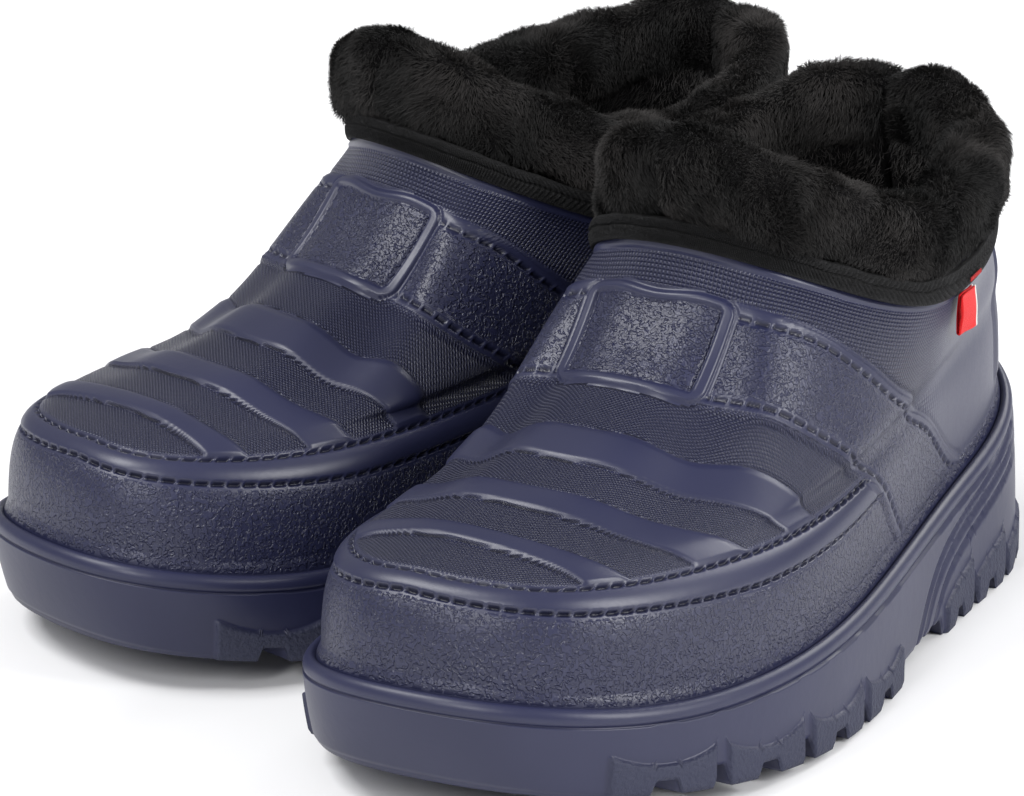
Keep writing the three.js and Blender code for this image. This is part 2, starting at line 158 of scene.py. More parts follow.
def hump(distance, half):
    """1 at distance 0, and down to 0 at half to either side."""
    return 0.5 + 0.5 * np.cos(np.pi * np.clip(distance / half, -1, 1))


def fade_from_toe(y, length):
    return np.clip(1 - y / length, 0, 1) ** 2


def spring_at(y):
    return TOE_SPRING * fade_from_toe(y, TOE_SPRING_LENGTH)


OUTLINE = [
    (0, 0.007), (0.37, 0.03), (0.77, 0.127), (1, 0.327), (0.885, 0.55), (0.723, 0.75),
    (0.57, 0.917), (0, 1), (-0.57, 0.917), (-0.655, 0.75), (-0.79, 0.55), (-1, 0.293),
    (-0.89, 0.12), (-0.59, 0.033)]
ROUND = np.arange(len(OUTLINE) + 1) / len(OUTLINE)
outline = spline(ROUND, [
    ((0 if i else TOE_SHIFT) + x * (OUTER_HALF_WIDTH if x > 0 else INNER_HALF_WIDTH), y * LENGTH)
    for i, (x, y) in enumerate(OUTLINE)], True)


def outline_normal(u):
    step = 1e-4
    along = outline(u + step) - outline(u - step)
    out = np.stack([along[..., 1], -along[..., 0]], -1)
    return out / np.linalg.norm(out, axis=-1, keepdims=True)


def ring(u, inset, height):
    """Points on the outline, drawn in by inset, at the given height."""
    edge = outline(u) - outline_normal(u) * np.broadcast_to(inset, np.shape(u))[..., None]
    return np.concatenate([edge, np.broadcast_to(height, np.shape(u))[..., None]], -1)


HALF_TURN = [0, 14, 28, 48, 88, 126, 155, 180]
COLLAR_TURNS = np.array(HALF_TURN + [360 - turn for turn in HALF_TURN[-2:0:-1]])
turn_past_even = spline(ROUND, COLLAR_TURNS - 360 * ROUND[:-1], True)


def collar(u):
    turn = np.radians(360 * u + turn_past_even(u))
    c, s = np.cos(turn), np.sin(turn)
    rear = LENGTH - COLLAR_HEEL_SETBACK
    end = np.where(c > 0, COLLAR_FRONT_HEIGHT, COLLAR_REAR_HEIGHT)
    side = np.where(s > 0, COLLAR_OUTER_HALF_WIDTH, COLLAR_INNER_HALF_WIDTH)
    forward = smooth(0, COLLAR_ROUNDS_OVER, c)
    roundness = COLLAR_ROUNDNESS * (1 - forward) + COLLAR_FRONT_ROUNDNESS * forward
    squared = lambda share: np.sign(share) * np.abs(share) ** roundness
    return np.stack([
        side * squared(s),
        (COLLAR_FRONT + rear) / 2 - (rear - COLLAR_FRONT) / 2 * squared(c),
        COLLAR_SIDE_HEIGHT + (end - COLLAR_SIDE_HEIGHT) * np.abs(c) ** COLLAR_DIP], -1)


def beside_collar(u, out, up):
    """Points out from the collar and up from it."""
    step = 0.01
    along = (collar(u + step) - collar(u - step))[..., :2]
    away = np.stack([along[..., 1], -along[..., 0]], -1)
    away /= np.linalg.norm(away, axis=-1, keepdims=True)
    point = collar(u)
    point[..., :2] += away * np.broadcast_to(out, np.shape(u))[..., None]
    point[..., 2] += up
    return point


# Share of the way in, share of the way up, and bulge, at four levels between stripe and collar.
SWEEP_TO_COLLAR = np.array([
    [(0.23, 0.12, 0), (0.51, 0.225, 0), (0.77, 0.43, 0), (0.953, 0.726, 0)],
    [(0.227, 0.1, 0), (0.507, 0.214, 0), (0.752, 0.42, -0.5), (0.944, 0.75, -0.4)],
    [(0.225, 0.07, 0), (0.49, 0.165, -0.4), (0.716, 0.408, -0.9), (0.9, 0.755, -0.6)],
    [(0.17, 0.09, 0.5), (0.377, 0.286, -0.4), (0.58, 0.562, -1.3), (0.788, 0.81, -1.1)],
    [(0.25, 0.23, 0.6), (0.5, 0.48, 0.6), (0.75, 0.74, 0.3), (0.88, 0.87, 0.1)],
    [(0.25, 0.25, 1), (0.5, 0.5, 1.4), (0.75, 0.75, 1.2), (0.88, 0.88, 0.6)],
    [(0.12, 0.25, 1.2), (0.35, 0.5, 1.8), (0.65, 0.75, 1.5), (0.83, 0.88, 0.8)],
    [(0.1, 0.25, 0), (0.35, 0.5, 0), (0.68, 0.76, 0), (0.84, 0.88, 0)]])
LEVELS = np.array([0, 0.14, 0.2, 0.36, 0.54, 0.72, 0.88, 1])


def upper_net():
    """The eight levels of the upper at each point of the outline."""
    u = ROUND[:-1]
    y = outline(u)[:, 1]
    foot = ring(u, RIM_LEDGE_WIDTH, rim_height(y) + RIM_FILLET_HEIGHT)
    low = ring(u, bumper_inset(y), bumper_height(y))
    back = smooth(0.2, 0.75, y / LENGTH)
    stripe = STRIPE_WIDTH * (1 - back) + STRIPE_WIDTH_REAR * back
    top = ring(u, bumper_inset(y) + stripe, bumper_height(y) + STRIPE_RISE)
    edge = collar(u)
    out = outline_normal(u)
    sweep = SWEEP_TO_COLLAR[[min(i, len(OUTLINE) - i) for i in range(len(OUTLINE))]]
    levels = [foot, low, top]
    for level in range(4):
        way, rise, bulge = sweep[:, level].T[..., None]
        plan = top[:, :2] * (1 - way) + edge[:, :2] * way + out * bulge
        levels.append(np.hstack([plan, top[:, 2:] * (1 - rise) + edge[:, 2:] * rise]))
    return np.array(levels + [edge])


LEVEL_CURVES = [spline(ROUND, level, True) for level in upper_net()]


def upper(u, v):
    """Points at columns u, each with its own rows v: an array of columns, rows and axes."""
    levels = np.array([curve(u) for curve in LEVEL_CURVES])
    bend = bends_of(LEVELS, levels, False)
    i = np.clip(np.searchsorted(LEVELS, v, side="right") - 1, 0, len(LEVELS) - 2)
    column = np.arange(len(u))[:, None]
    span = (LEVELS[i + 1] - LEVELS[i])[..., None]
    up = (v - LEVELS[i])[..., None]
    down = (LEVELS[i + 1] - v)[..., None]
    return ((bend[i, column] * down**3 + bend[i + 1, column] * up**3) / (6 * span)
            + (levels[i, column] / span - bend[i, column] * span / 6) * down
            + (levels[i + 1, column] / span - bend[i + 1, column] * span / 6) * up)


def grid_normals(points):
    """Outward unit normals of a grid whose columns close on themselves."""
    round_ = np.roll(points, -1, 0) - np.roll(points, 1, 0)
    climb = np.gradient(points, axis=1)
    out = np.cross(round_, climb)
    return out / np.maximum(np.linalg.norm(out, axis=-1, keepdims=True), 1e-9)


def evenly(start, end, count):
    """Places on the outline, evenly spaced along its length, without the last."""
    table = np.linspace(start, end, 600)
    walked = np.concatenate([[0], np.cumsum(np.linalg.norm(np.diff(outline(table), axis=0), axis=1))])
    return np.interp(np.arange(count) / count * walked[-1], walked, table)


def both_sides(half):
    """Columns right round the boot, from those of the outer half."""
    return np.concatenate([half, [0.5], 1 - half[:0:-1]])


# ---- Placing and meshes ----
def boot_frame(side):
    """The handedness, turn and middle of one boot, from the frame's own shell."""
    handed = 1 if side == "left" else -1
    u = np.arange(48) / 48
    y = outline(u)[:, 1]
    inset = TOE_UNDERCUT * fade_from_toe(y, TOE_UNDERCUT_LENGTH)
    inset -= SOLE_FLARE * (1 - fade_from_toe(y, TOE_UNDERCUT_LENGTH))
    rings = [(0, rim_height(y)), (inset, 0), (inset / 2 - SIDEWALL_BELLY, 0)]
    edge = np.concatenate([ring(u, depth, height) for depth, height in rings])
    turn = math.radians(TOE_OUT) * handed
    turned = turn_about_middle(edge, handed, turn)
    low, high = (np.array(corner)[:2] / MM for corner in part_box(side + "_shell"))
    middle = (low + high - turned.min(0)[:2] - turned.max(0)[:2]) / 2
    return handed, turn, middle


def turn_about_middle(points, handed, turn):
    x = points[..., 0] * handed
    y = points[..., 1] - LENGTH / 2
    c, s = math.cos(turn), math.sin(turn)
    return np.stack([c * x - s * y, s * x + c * y, points[..., 2]], -1)


FRAMES = {side: boot_frame(side) for side in ("left", "right")}


def to_world(points, side):
    handed, turn, middle = FRAMES[side]
    placed = turn_about_middle(np.asarray(points, float), handed, turn)
    placed[..., :2] += middle
    return placed * MM


def make_mesh(name, points, faces, side, material, attributes=None, normals=None):
    """A mesh object from local points and faces of 3 or 4 corners, mirrored with its boot."""
    lists = [np.asarray(part) for part in (faces if isinstance(faces, list) else [faces])]
    if FRAMES[side][0] < 0:
        lists = [part[:, ::-1] for part in lists]
    mesh = bpy.data.meshes.new(name)
    placed = to_world(points, side)
    mesh.vertices.add(len(placed))
    mesh.vertices.foreach_set("co", placed.astype(np.float32).ravel())
    corners = np.concatenate([part.ravel() for part in lists]).astype(np.int32)
    sizes = np.concatenate([np.full(len(part), part.shape[1]) for part in lists])
    mesh.loops.add(len(corners))
    mesh.loops.foreach_set("vertex_index", corners)
    mesh.polygons.add(len(sizes))
    starts = np.concatenate([[0], np.cumsum(sizes)[:-1]]).astype(np.int32)
    mesh.polygons.foreach_set("loop_start", starts)
    for key, values in (attributes or {}).items():
        values = np.asarray(values, np.float32)
        kind, field = ("FLOAT", "value") if values.ndim == 1 else ("FLOAT_VECTOR", "vector")
        mesh.attributes.new(key, kind, "POINT").data.foreach_set(field, values.ravel())
    mesh.update(calc_edges=True)
    mesh.shade_smooth()
    if normals is not None:
        origin = to_world(np.zeros((1, 3)), side)
        mesh.normals_split_custom_set_from_vertices((to_world(normals, side) - origin) / MM)
    mesh.materials.append(material)
    piece = bpy.data.objects.new(name, mesh)
    bpy.context.scene.collection.objects.link(piece)
    return piece


def grid_faces(columns, rows, closed=True, flip=False):
    """Quads of a grid numbered column by column."""
    across = np.arange(columns if closed else columns - 1)
    i, j = np.meshgrid(across, np.arange(rows - 1), indexing="ij")
    here, there = i * rows + j, (i + 1) % columns * rows + j
    quads = np.stack([here, there, there + 1, here + 1], -1).reshape(-1, 4)
    return quads[:, ::-1] if flip else quads


def noise(points, size, seed, octaves=3):
    """Smooth values of about -1 to 1 that vary over distances of about size."""
    rng = np.random.default_rng(seed)
    total = np.zeros(points.shape[:-1])
    for octave in range(octaves):
        waves = rng.normal(size=(10, 3)) * 2**octave / size * 2
        phases = rng.uniform(0, 2 * np.pi, 10)
        for wave, phase in zip(waves, phases):
            total += np.sin(points @ wave + phase) / (3 * 2**octave)
    return total / 1.3


# ---- The moulded upper ----
STITCH_PITCH = 4.6
STITCH_DASH = 3.4
STITCH_HALF_WIDTH = 0.95
STITCH_DEPTH = 0.95
RIBS = [  # each rib's edge towards the toe and towards the throat: place at the middle, and arch
    ((33.5, 0.0008), (42.2, 0.003)), ((55.5, 0.0047), (67, 0.007)), ((80, 0.0077), (94.5, 0.0077))]
RIB_MIDDLE = -3
RIB_HEIGHT = 1.25
PLATE_LEVELS = (0.731, 0.912)
PLATE_HALF_WIDTH = 22.7
PLATE_CORNER = 4.5
PLATE_FRAME = 3.6
PLATE_RISE = 1.1
BAND_REAR = [(0.112, 0.906), (0.15, 0.908), (0.197, 0.9), (0.234, 0.84), (0.263, 0.645), (0.296, 0.39),
             (0.326, 0.168), (0.352, 0.04), (0.366, 0)]
BAND_FRONT = [(0.112, 0.736), (0.15, 0.727), (0.189, 0.69), (0.219, 0.595), (0.244, 0.44), (0.262, 0.27),
              (0.276, 0.15), (0.29, 0.056), (0.302, 0)]
BAND_RISE = 0.5
STRIPE_LOW = [(0, 0.176), (0.066, 0.158), (0.116, 0.14), (0.155, 0.127), (0.2, 0.113), (0.26, 0.108),
              (0.35, 0.105), (0.5, 0.105)]
STRIPE_TOP = [(0, 0.222), (0.066, 0.211), (0.116, 0.198), (0.155, 0.187), (0.2, 0.178), (0.26, 0.166),
              (0.35, 0.16), (0.5, 0.16)]
COUNTER_PLACE = 0.419
SQUARE_WEAVE = 1.25
DIAGONAL_WEAVE = 1.05
FINE_COLUMNS, PLAIN_COLUMNS, FINE_UNTIL = 384, 44, 0.375


def dashes(walked):
    """1 along each stitch and 0 in the gaps between."""
    off = np.abs((walked / STITCH_PITCH) % 1 - 0.5) * STITCH_PITCH
    return 1 - smooth(STITCH_DASH / 2 - 0.25, STITCH_DASH / 2 + 0.25, off)


def stitch_groove(distance, walked):
    """How deep the sunken stitches are, from 0 to 1."""
    across = 1 - smooth(0.25 * STITCH_HALF_WIDTH, STITCH_HALF_WIDTH, np.abs(distance))
    return across * (0.1 + 0.9 * dashes(walked))


def edge_distance(points, half_place, rows, corners, mirrored):
    """Distance of each point from an edge drawn over the upper, which side it is on, and how far along."""
    corners = np.array(corners)
    walk = spline(np.linspace(0, 1, len(corners)), corners)(np.linspace(0, 1, 260))
    place, level = walk[:, 0], np.clip(walk[:, 1], 0, 1)
    u = 1 - place if mirrored else place
    line = upper(u, level[:, None])[:, 0]
    walked = np.concatenate([[0], np.cumsum(np.linalg.norm(np.diff(line, axis=0), axis=1))])
    slope = np.gradient(walk, axis=0)
    distance, along, side_of = np.empty((3, *points.shape[:2]))
    for column in range(len(points)):
        gap = np.linalg.norm(points[column][:, None] - line[None], axis=-1)
        nearest = gap.argmin(1)
        distance[column] = gap[np.arange(len(nearest)), nearest]
        along[column] = walked[nearest]
        lead = (place[nearest] - half_place[column]) * slope[nearest, 1]
        side_of[column] = slope[nearest, 0] * (rows[column] - level[nearest]) + lead
    return distance * np.where(side_of > 0, 1, -1), along


def moulded_upper():
    """The upper's grid with its moulded detail, and where it is grained and woven."""
    half = np.concatenate([evenly(0, FINE_UNTIL, FINE_COLUMNS), evenly(FINE_UNTIL, 0.5, PLAIN_COLUMNS)])
    u = both_sides(half)
    place = np.minimum(u, 1 - u)
    low = np.interp(place, *np.array(STRIPE_LOW).T)[:, None]
    top = np.interp(place, *np.array(STRIPE_TOP).T)[:, None]
    low, top = (smooth_round(line) for line in (low, top))
    bumper = np.concatenate([np.linspace(0, 0.86, 30, endpoint=False), np.linspace(0.86, 1, 10, endpoint=False)])
    above = np.concatenate([np.linspace(0, 0.03, 8, endpoint=False), np.linspace(0.03, 0.7, 124, endpoint=False),
                            np.linspace(0.7, 1, 54)])
    v = np.hstack([low * bumper, low + (top - low) * np.linspace(0, 1, 20, endpoint=False), top + (1 - top) * above])
    seam = len(bumper) + 20
    points = upper(u, v)
    out = grid_normals(points)
    steps = np.linalg.norm(np.diff(points, axis=1), axis=-1)
    climbed = np.concatenate([np.zeros((len(u), 1)), np.cumsum(steps, 1)], 1)
    strides = np.linalg.norm(np.roll(points, -1, 0) - points, axis=-1)
    walked = np.concatenate([np.zeros((1, v.shape[1])), np.cumsum(strides, 0)[:-1]])
    walked = np.where((u <= 0.5)[:, None], walked, walked - strides.sum(0))
    climb_at = lambda level: np.array([np.interp(level[i], v[i], climbed[i]) for i in range(len(u))])[:, None]
    x, y = points[..., 0], points[..., 1]

    # The band over the instep, from one side of the sole to the other.
    front = np.full(v.shape, 1e3)
    rear = np.full(v.shape, 1e3)
    front_along, rear_along = np.zeros(v.shape), np.zeros(v.shape)
    for mirrored in (False, True):
        chosen = (u > 0.5) if mirrored else (u <= 0.5)
        chosen &= (place > 0.08) & (place < 0.42)
        picked = points[chosen], place[chosen], v[chosen]
        front[chosen], front_along[chosen] = edge_distance(*picked, BAND_FRONT, mirrored)
        rear[chosen], rear_along[chosen] = edge_distance(*picked, BAND_REAR, mirrored)
    central = (place <= 0.08)[:, None]
    over_plate = np.where(v > sum(PLATE_LEVELS) / 2, 99, -99)
    front = np.where(central, over_plate, front)
    rear = np.where(central, over_plate, rear)
    beyond = (place >= 0.42)[:, None]
    front = np.where(beyond, 99, front)
    rear = np.where(beyond, 99, rear)

    # The plate, a framed rectangle over the instep.
    middle = sum(PLATE_LEVELS) / 2
    half_height = (np.interp(PLATE_LEVELS[1], v[0], climbed[0]) - np.interp(PLATE_LEVELS[0], v[0], climbed[0])) / 2
    up = (v - middle) / (PLATE_LEVELS[1] - middle) * half_height
    away = np.maximum(np.abs(x + 0.5) - PLATE_HALF_WIDTH + PLATE_CORNER, 0)
    away_up = np.maximum(np.abs(up) - half_height + PLATE_CORNER, 0)
    plate = np.hypot(away, away_up) - PLATE_CORNER
    plate += np.minimum(np.maximum(np.abs(x + 0.5) - PLATE_HALF_WIDTH, np.abs(up) - half_height) + PLATE_CORNER, 0)
    on_plate = 1 - smooth(-0.4, 0.4, plate)
    plate_field = 1 - smooth(-0.5, 0.3, plate + PLATE_FRAME)

    in_band = smooth(-0.35, 0.35, front) * (1 - smooth(-0.35, 0.35, rear)) * (1 - on_plate)
    ahead_of_band = (1 - smooth(-1.2, 0.2, front)) * (1 - on_plate)
    behind_band = smooth(-0.2, 1.2, rear) * (1 - on_plate)
    above_plate = (place <= 0.112)[:, None] * smooth(0.2, 1.2, up - half_height) * (1 - on_plate)
    behind_band = np.maximum(behind_band * (1 - central), above_plate)

    raised = BAND_RISE * in_band
    beads = 0.45 * (hump(front + 0.5, 1.5) + hump(rear - 0.5, 1.5))
    grooves = -0.25 * (hump(front + 2.1, 1) + hump(rear - 2.1, 1))
    off_plate = smooth(0.2, 1.6, plate)
    raised += (beads + grooves) * off_plate * (~central) * (~beyond)
    seams = stitch_groove(front - 2.6, front_along) + stitch_groove(rear + 2.8, rear_along)
    sunk = seams * off_plate * (~central) * in_band

    frame_bar = np.clip(1 - np.abs((plate + PLATE_FRAME / 2) / (PLATE_FRAME / 2)) ** 5, 0, 1)
    raised += PLATE_RISE * frame_bar * (plate > -PLATE_FRAME) * (plate < 0)
    raised += 0.35 * plate_field - 0.35 * hump(plate - 0.5, 1.0) - 0.3 * hump(plate + PLATE_FRAME + 0.3, 0.8)

    # The stripe round the vamp, piped between two lines of stitches.
    above_low = climbed - climb_at(low[:, 0])
    above_top = climbed - climb_at(top[:, 0])
    width = above_low - above_top
    across = above_low / width * 2 - 1
    piping = np.clip(1 - across**2, 0, 1) ** 0.6
    stripe_here = (1 - smooth(-0.6, 0.6, front)) * (1 - 0 * x)
    raised += stripe_here * 0.8 * piping
    sunk += stripe_here * (stitch_groove(above_low, walked) + stitch_groove(above_top, walked + 1.4))
    raised -= STITCH_DEPTH * sunk

    # The ribs across the vamp.
    vamp = smooth(0.3, 2.5, above_top) * ahead_of_band
    arch = (x - RIB_MIDDLE) ** 2
    smooth_rib = np.zeros(v.shape)
    for (toe_edge, toe_arch), (throat_edge, throat_arch) in RIBS:
        start = toe_edge + toe_arch * arch
        end = throat_edge + throat_arch * arch
        share = (y - start) / (end - start)
        inside = smooth(0, 1.3 / (end - start), share) * (1 - smooth(0.8, 1.02, share))
        pillow = (0.75 + 0.35 * np.sin(np.pi * np.clip(share, 0, 1))) * inside
        side_fade = 1 - 0.45 * smooth(25, 52, np.abs(x - RIB_MIDDLE))
        raised += RIB_HEIGHT * pillow * side_fade * vamp
        raised -= 0.35 * hump(y - start + 0.6, 1.2) * vamp
        raised -= 0.25 * hump(y - end, 0.9) * vamp
        smooth_rib = np.maximum(smooth_rib, smooth(-0.3, 0.3, y - start) * (1 - smooth(-0.3, 0.3, y - end)))

    # The heel counter's double line and the moulded lip under the binding.
    at_counter = np.array([np.interp(COUNTER_PLACE, u[u <= 0.5], walked[u <= 0.5, row]) for row in range(v.shape[1])])
    past_counter = np.abs(walked) - at_counter
    tall = smooth(2, 6, climbed) * (v < 0.93)
    raised += tall * (0.7 * smooth(-2, 0, past_counter) - 0.8 * hump(past_counter - 0.9, 0.9) - 0.7 * hump(past_counter + 1.8, 0.9))
    to_collar = climbed[:, -1:] - climbed
    raised += 0.7 * (1 - smooth(1.8, 2.8, to_collar))

    grain_bumper = smooth(-1, 0.5, climbed) * (1 - smooth(-2.4, -1.2, above_low)) * (1 - smooth(-1, 0.5, front))
    in_band_field = smooth(4.2, 5, front) * (1 - smooth(-5, -4.2, rear)) * (plate > 1.2)
    grain = np.maximum(grain_bumper * (1 - in_band), np.maximum(in_band_field, 1.25 * plate_field))
    woven_vamp = vamp * (1 - smooth_rib) * smooth(1.2, 2.4, above_top) * (plate > 0.8)
    fade_rear = 1 - smooth(172, 222, y)
    woven_top = smooth(1.5, 2.5, behind_band * 3) * fade_rear * smooth(2.6, 3.4, to_collar) * (plate > 0.8)
    woven_top *= smooth(1.0, 2.0, np.where(central, up - half_height, rear))
    diagonal = woven_vamp > woven_top
    weave_at = np.stack([
        np.where(diagonal, (y + 0.8 * x) / DIAGONAL_WEAVE, walked[:, -1:] / SQUARE_WEAVE),
        np.where(diagonal, (y - 0.8 * x) / DIAGONAL_WEAVE, to_collar / SQUARE_WEAVE),
        np.zeros(v.shape)], -1)
    points = points + out * raised[..., None]
    return dict(u=u, v=v, points=points, seam=seam, grain=grain, sunk=np.clip(sunk, 0, 1),
                normals=grid_normals(points),
                weave=np.maximum(woven_vamp, woven_top), weave_at=weave_at)


def smooth_round(line):
    """A line round the boot with its corners rounded off."""
    for _ in range(12):
        line = (np.roll(line, 1, 0) + 2 * line + np.roll(line, -1, 0)) / 4
    return line


def detail_of(grid, rows, points):
    """Per-point detail of some rows, with extra plain rows where points has more."""
    extra = points.shape[1] - grid["grain"][:, rows].shape[1]
    pad = lambda values: np.pad(values, [(0, 0), (0, extra)] + [(0, 0)] * (values.ndim - 2))
    return {
        "grain": pad(grid["grain"][:, rows]).ravel(),
        "sunk": pad(grid["sunk"][:, rows]).ravel(),
        "weave": pad(grid["weave"][:, rows]).ravel(),
        "weave_at": pad(grid["weave_at"][:, rows]).reshape(-1, 3)}


def bumper_piece(side, grid, material):
    """The foot of the upper, from the groove behind the rim up to the stripe's top stitches."""
    u = grid["u"]
    rim = rim_height(outline(u)[:, 1])
    below = [ring(u, inset, rim + rise) for inset, rise in ((4.6, 0.8), (3.7, 2), (3.8, 3.2), (4.3, 4.6), (4.7, 5.6))]
    rows = slice(0, grid["seam"] + 1)
    points = np.concatenate([np.stack(below, 1), grid["points"][:, rows]], 1)
    normals = grid_normals(points)
    normals[:, -12:] = grid["normals"][:, rows][:, -12:]
    flipped = detail_of(grid, rows, grid["points"][:, rows])
    pad = lambda values, size: np.pad(
        values.reshape(len(u), -1, size), [(0, 0), (len(below), 0), (0, 0)]).reshape(-1, size)
    detail = {key: pad(values, 3 if values.ndim == 2 else 1) for key, values in flipped.items()}
    detail = {key: values if key == "weave_at" else values[:, 0] for key, values in detail.items()}
    detail["grain"].reshape(len(u), -1)[:, 3:len(below)] = 1
    piece = make_mesh(side + "_bumper", points.reshape(-1, 3), grid_faces(len(u), points.shape[1]), side,
                      material, detail, normals.reshape(-1, 3))
    return piece


def upper_pieces(side, grid, material):
    """The outer and inner halves of the vamp and quarters, over the collar's edge and down inside."""
    u = grid["u"]
    rows = slice(grid["seam"], None)
    outer = grid["points"][:, rows]
    edge = [beside_collar(u, out, rise) for out, rise in
            ((0.3, 1.5), (0, 4), (-0.8, 5), (-WALL + 0.8, 5), (-WALL, 4), (-WALL, 0))]
    levels = np.array([0.94, 0.86, 0.78, 0.68, 0.56, 0.44, 0.32, 0.22])
    inside = upper(u, np.tile(levels, (len(u), 1)))
    inside -= grid_normals(inside)[..., :] * -WALL
    points = np.concatenate([outer, np.stack(edge, 1), inside], 1)
    normals = grid_normals(points)
    normals[:, :12] = grid["normals"][:, rows][:, :12]
    detail = detail_of(grid, rows, points)
    columns = np.arange(len(u) + 1) % len(u)
    turn = len(u) // 2
    pieces = []
    for name, chosen in (("lateral", columns[:turn + 1]), ("medial", columns[turn:])):
        kept = {key: values.reshape(len(u), points.shape[1], -1)[chosen] for key, values in detail.items()}
        kept = {key: values.reshape(-1, 3) if values.shape[2] > 1 else values.ravel() for key, values in kept.items()}
        faces = grid_faces(len(chosen), points.shape[1], closed=False)
        pieces.append(make_mesh(f"{side}_upper_{name}", points[chosen].reshape(-1, 3), faces, side, material,
                                kept, normals[chosen].reshape(-1, 3)))
    return pieces


# ---- The sole ----
FOREFOOT_LUGS = dict(start=28, pitch=34.7, length=30.5, count=4, notch=7.5, tip=12, dip=8.5)
HEEL_LUGS = dict(start=206, pitch=25.5, length=22, count=3, notch=5.5, tip=15, dip=8)
GAP_DEPTH = 6
NOTCH_DEPTH = 4.2
WAIST = (166, 203)
WAIST_LIFT = 5.5
LUG_STAND = 1.2
SWOOSHES = [
    [(177, 4), (189, 15), (206, 24), (232, 31), (268, 42)],
    [(184, 4), (196, 15), (214, 23), (240, 30), (273, 39)],
    [(193, 4), (205, 14), (223, 21), (249, 28), (277, 36)]]
SOLE_COLUMNS = 1040


def lug_lines():
    """Start and end of each lug along the side, its notch, and the shape of its top."""
    lugs = []
    for kind in (FOREFOOT_LUGS, HEEL_LUGS):
        for number in range(kind["count"]):
            start = kind["start"] + kind["pitch"] * number
            lugs.append((start, start + kind["length"], kind["notch"], kind["tip"], kind["dip"]))
    back = HEEL_LUGS["start"] + HEEL_LUGS["pitch"] * HEEL_LUGS["count"]
    lugs.append((back, 330, HEEL_LUGS["notch"], HEEL_LUGS["tip"], HEEL_LUGS["dip"]))
    return lugs


def tread_lift(y):
    """How far the sole's underside is lifted at its edge: notches, gaps and the waist."""
    lift = WAIST_LIFT * smooth(WAIST[0] - 1.5, WAIST[0] + 1.5, y) * (1 - smooth(WAIST[1] - 1.5, WAIST[1] + 1.5, y))
    lugs = lug_lines()
    for (start, end, notch, _, _), following in zip(lugs, lugs[1:] + [None]):
        if end < LENGTH:
            centre = (start + end) / 2
            lift = np.maximum(lift, NOTCH_DEPTH * (1 - smooth(notch / 2 - 0.9, notch / 2 + 0.9, np.abs(y - centre))))
        if following and following[0] - end < 10:
            gap = (end + following[0]) / 2
            half = (following[0] - end) / 2
            lift = np.maximum(lift, GAP_DEPTH * (1 - smooth(half - 0.7, half + 0.7, np.abs(y - gap))))
    return lift


def sidewall_detail(y, height, side_facing):
    """Lug faces and swooping ridges on the side of the sole, and where the faces are stippled."""
    raised = np.zeros(y.shape)
    for start, end, _, tip, dip in lug_lines():
        share = np.clip((y - start) / (end - start), 0, 1)
        if start > WAIST[1]:
            top = dip + (tip - dip) * share**0.8
        else:
            top = dip + (tip - dip) * np.abs(2 * share - 1) ** 2.2
        inside = smooth(-0.4, 0.5, y - start) * (1 - smooth(-0.5, 0.4, y - end)) * (1 - smooth(-0.5, 0.4, height - top))
        raised = np.maximum(raised, inside)
    stipple = raised
    raised = LUG_STAND * raised
    for corners in SWOOSHES:
        line = spline(np.linspace(0, 1, len(corners)), corners)(np.linspace(0, 1, 120))
        distance = np.full(y.shape, 99.0)
        for point in line:
            distance = np.minimum(distance, np.hypot(y - point[0], height - point[1]))
        taper = smooth(174, 184, y) * (1 - smooth(262, 280, y))
        raised = raised - 1.3 * hump(distance, 1.9) * taper * side_facing
    return raised, stipple


def sole_piece(side, material):
    """Rim, sidewall and underside."""
    half = evenly(0, 0.5, SOLE_COLUMNS // 2)
    u = both_sides(half)
    y = outline(u)[:, 1]
    rim = rim_height(y)
    undercut = fade_from_toe(y, TOE_UNDERCUT_LENGTH)
    ground_inset = TOE_UNDERCUT * undercut - SOLE_FLARE * (1 - undercut)
    bottom = spring_at(y) + tread_lift(y)
    rim_profile = [(5.6, 0.2), (4.4, 1.4), (3.7, 2.3), (3.2, 2.9), (2.6, 3.3), (1.9, 3.2), (1.2, 2.8), (0.6, 2.1),
                   (0.2, 1.2), (0.1, 0.2), (0.3, -0.6), (0.8, -1.1), (0.75, -1.7)]
    columns = [ring(u, inset, rim + rise) for inset, rise in rim_profile]
    share = np.concatenate([np.linspace(0.07, 0.55, 22), np.linspace(0.57, 1, 30)])
    out = outline_normal(u)
    facing = np.abs(out[:, 0])
    stipple = [np.zeros(len(u))] * len(columns)
    for t in share:
        height = rim * (1 - t) + bottom * t
        down = (rim - height) / (rim - spring_at(y))
        inset = ground_inset * down - SIDEWALL_BELLY * 4 * down * (1 - down)
        raised, faces = sidewall_detail(y, height - spring_at(y), smooth(0.3, 0.7, facing))
        edge = smooth(0.93, 1, t) * 0.5
        columns.append(ring(u, inset - raised + edge, height))
        stipple.append(faces)
    spine_y = np.clip(y, 34, LENGTH - 34)
    spine = np.stack([np.interp(spine_y, [0, 100, 200, 300], [-6, 0, 2, 0]), spine_y], -1)
    border = columns[-1]
    for step in np.concatenate([[0.01, 0.03, 0.06], np.linspace(0.1, 1, 20)]):
        plan = border[:, :2] * (1 - step) + spine * step
        channel = 3.5 * smooth(0.86, 0.92, step)
        level = spring_at(plan[:, 1]) + np.maximum(tread_lift(y), channel)
        columns.append(np.concatenate([plan, level[:, None]], -1))
        stipple.append(np.zeros(len(u)))
    points = np.stack(columns, 1)
    faces = grid_faces(len(u), points.shape[1], flip=True)
    detail = {"grain": np.zeros(points.shape[0] * points.shape[1]), "stipple": np.stack(stipple, 1).ravel()}
    return make_mesh(side + "_sole", points.reshape(-1, 3), faces, side, material, detail)


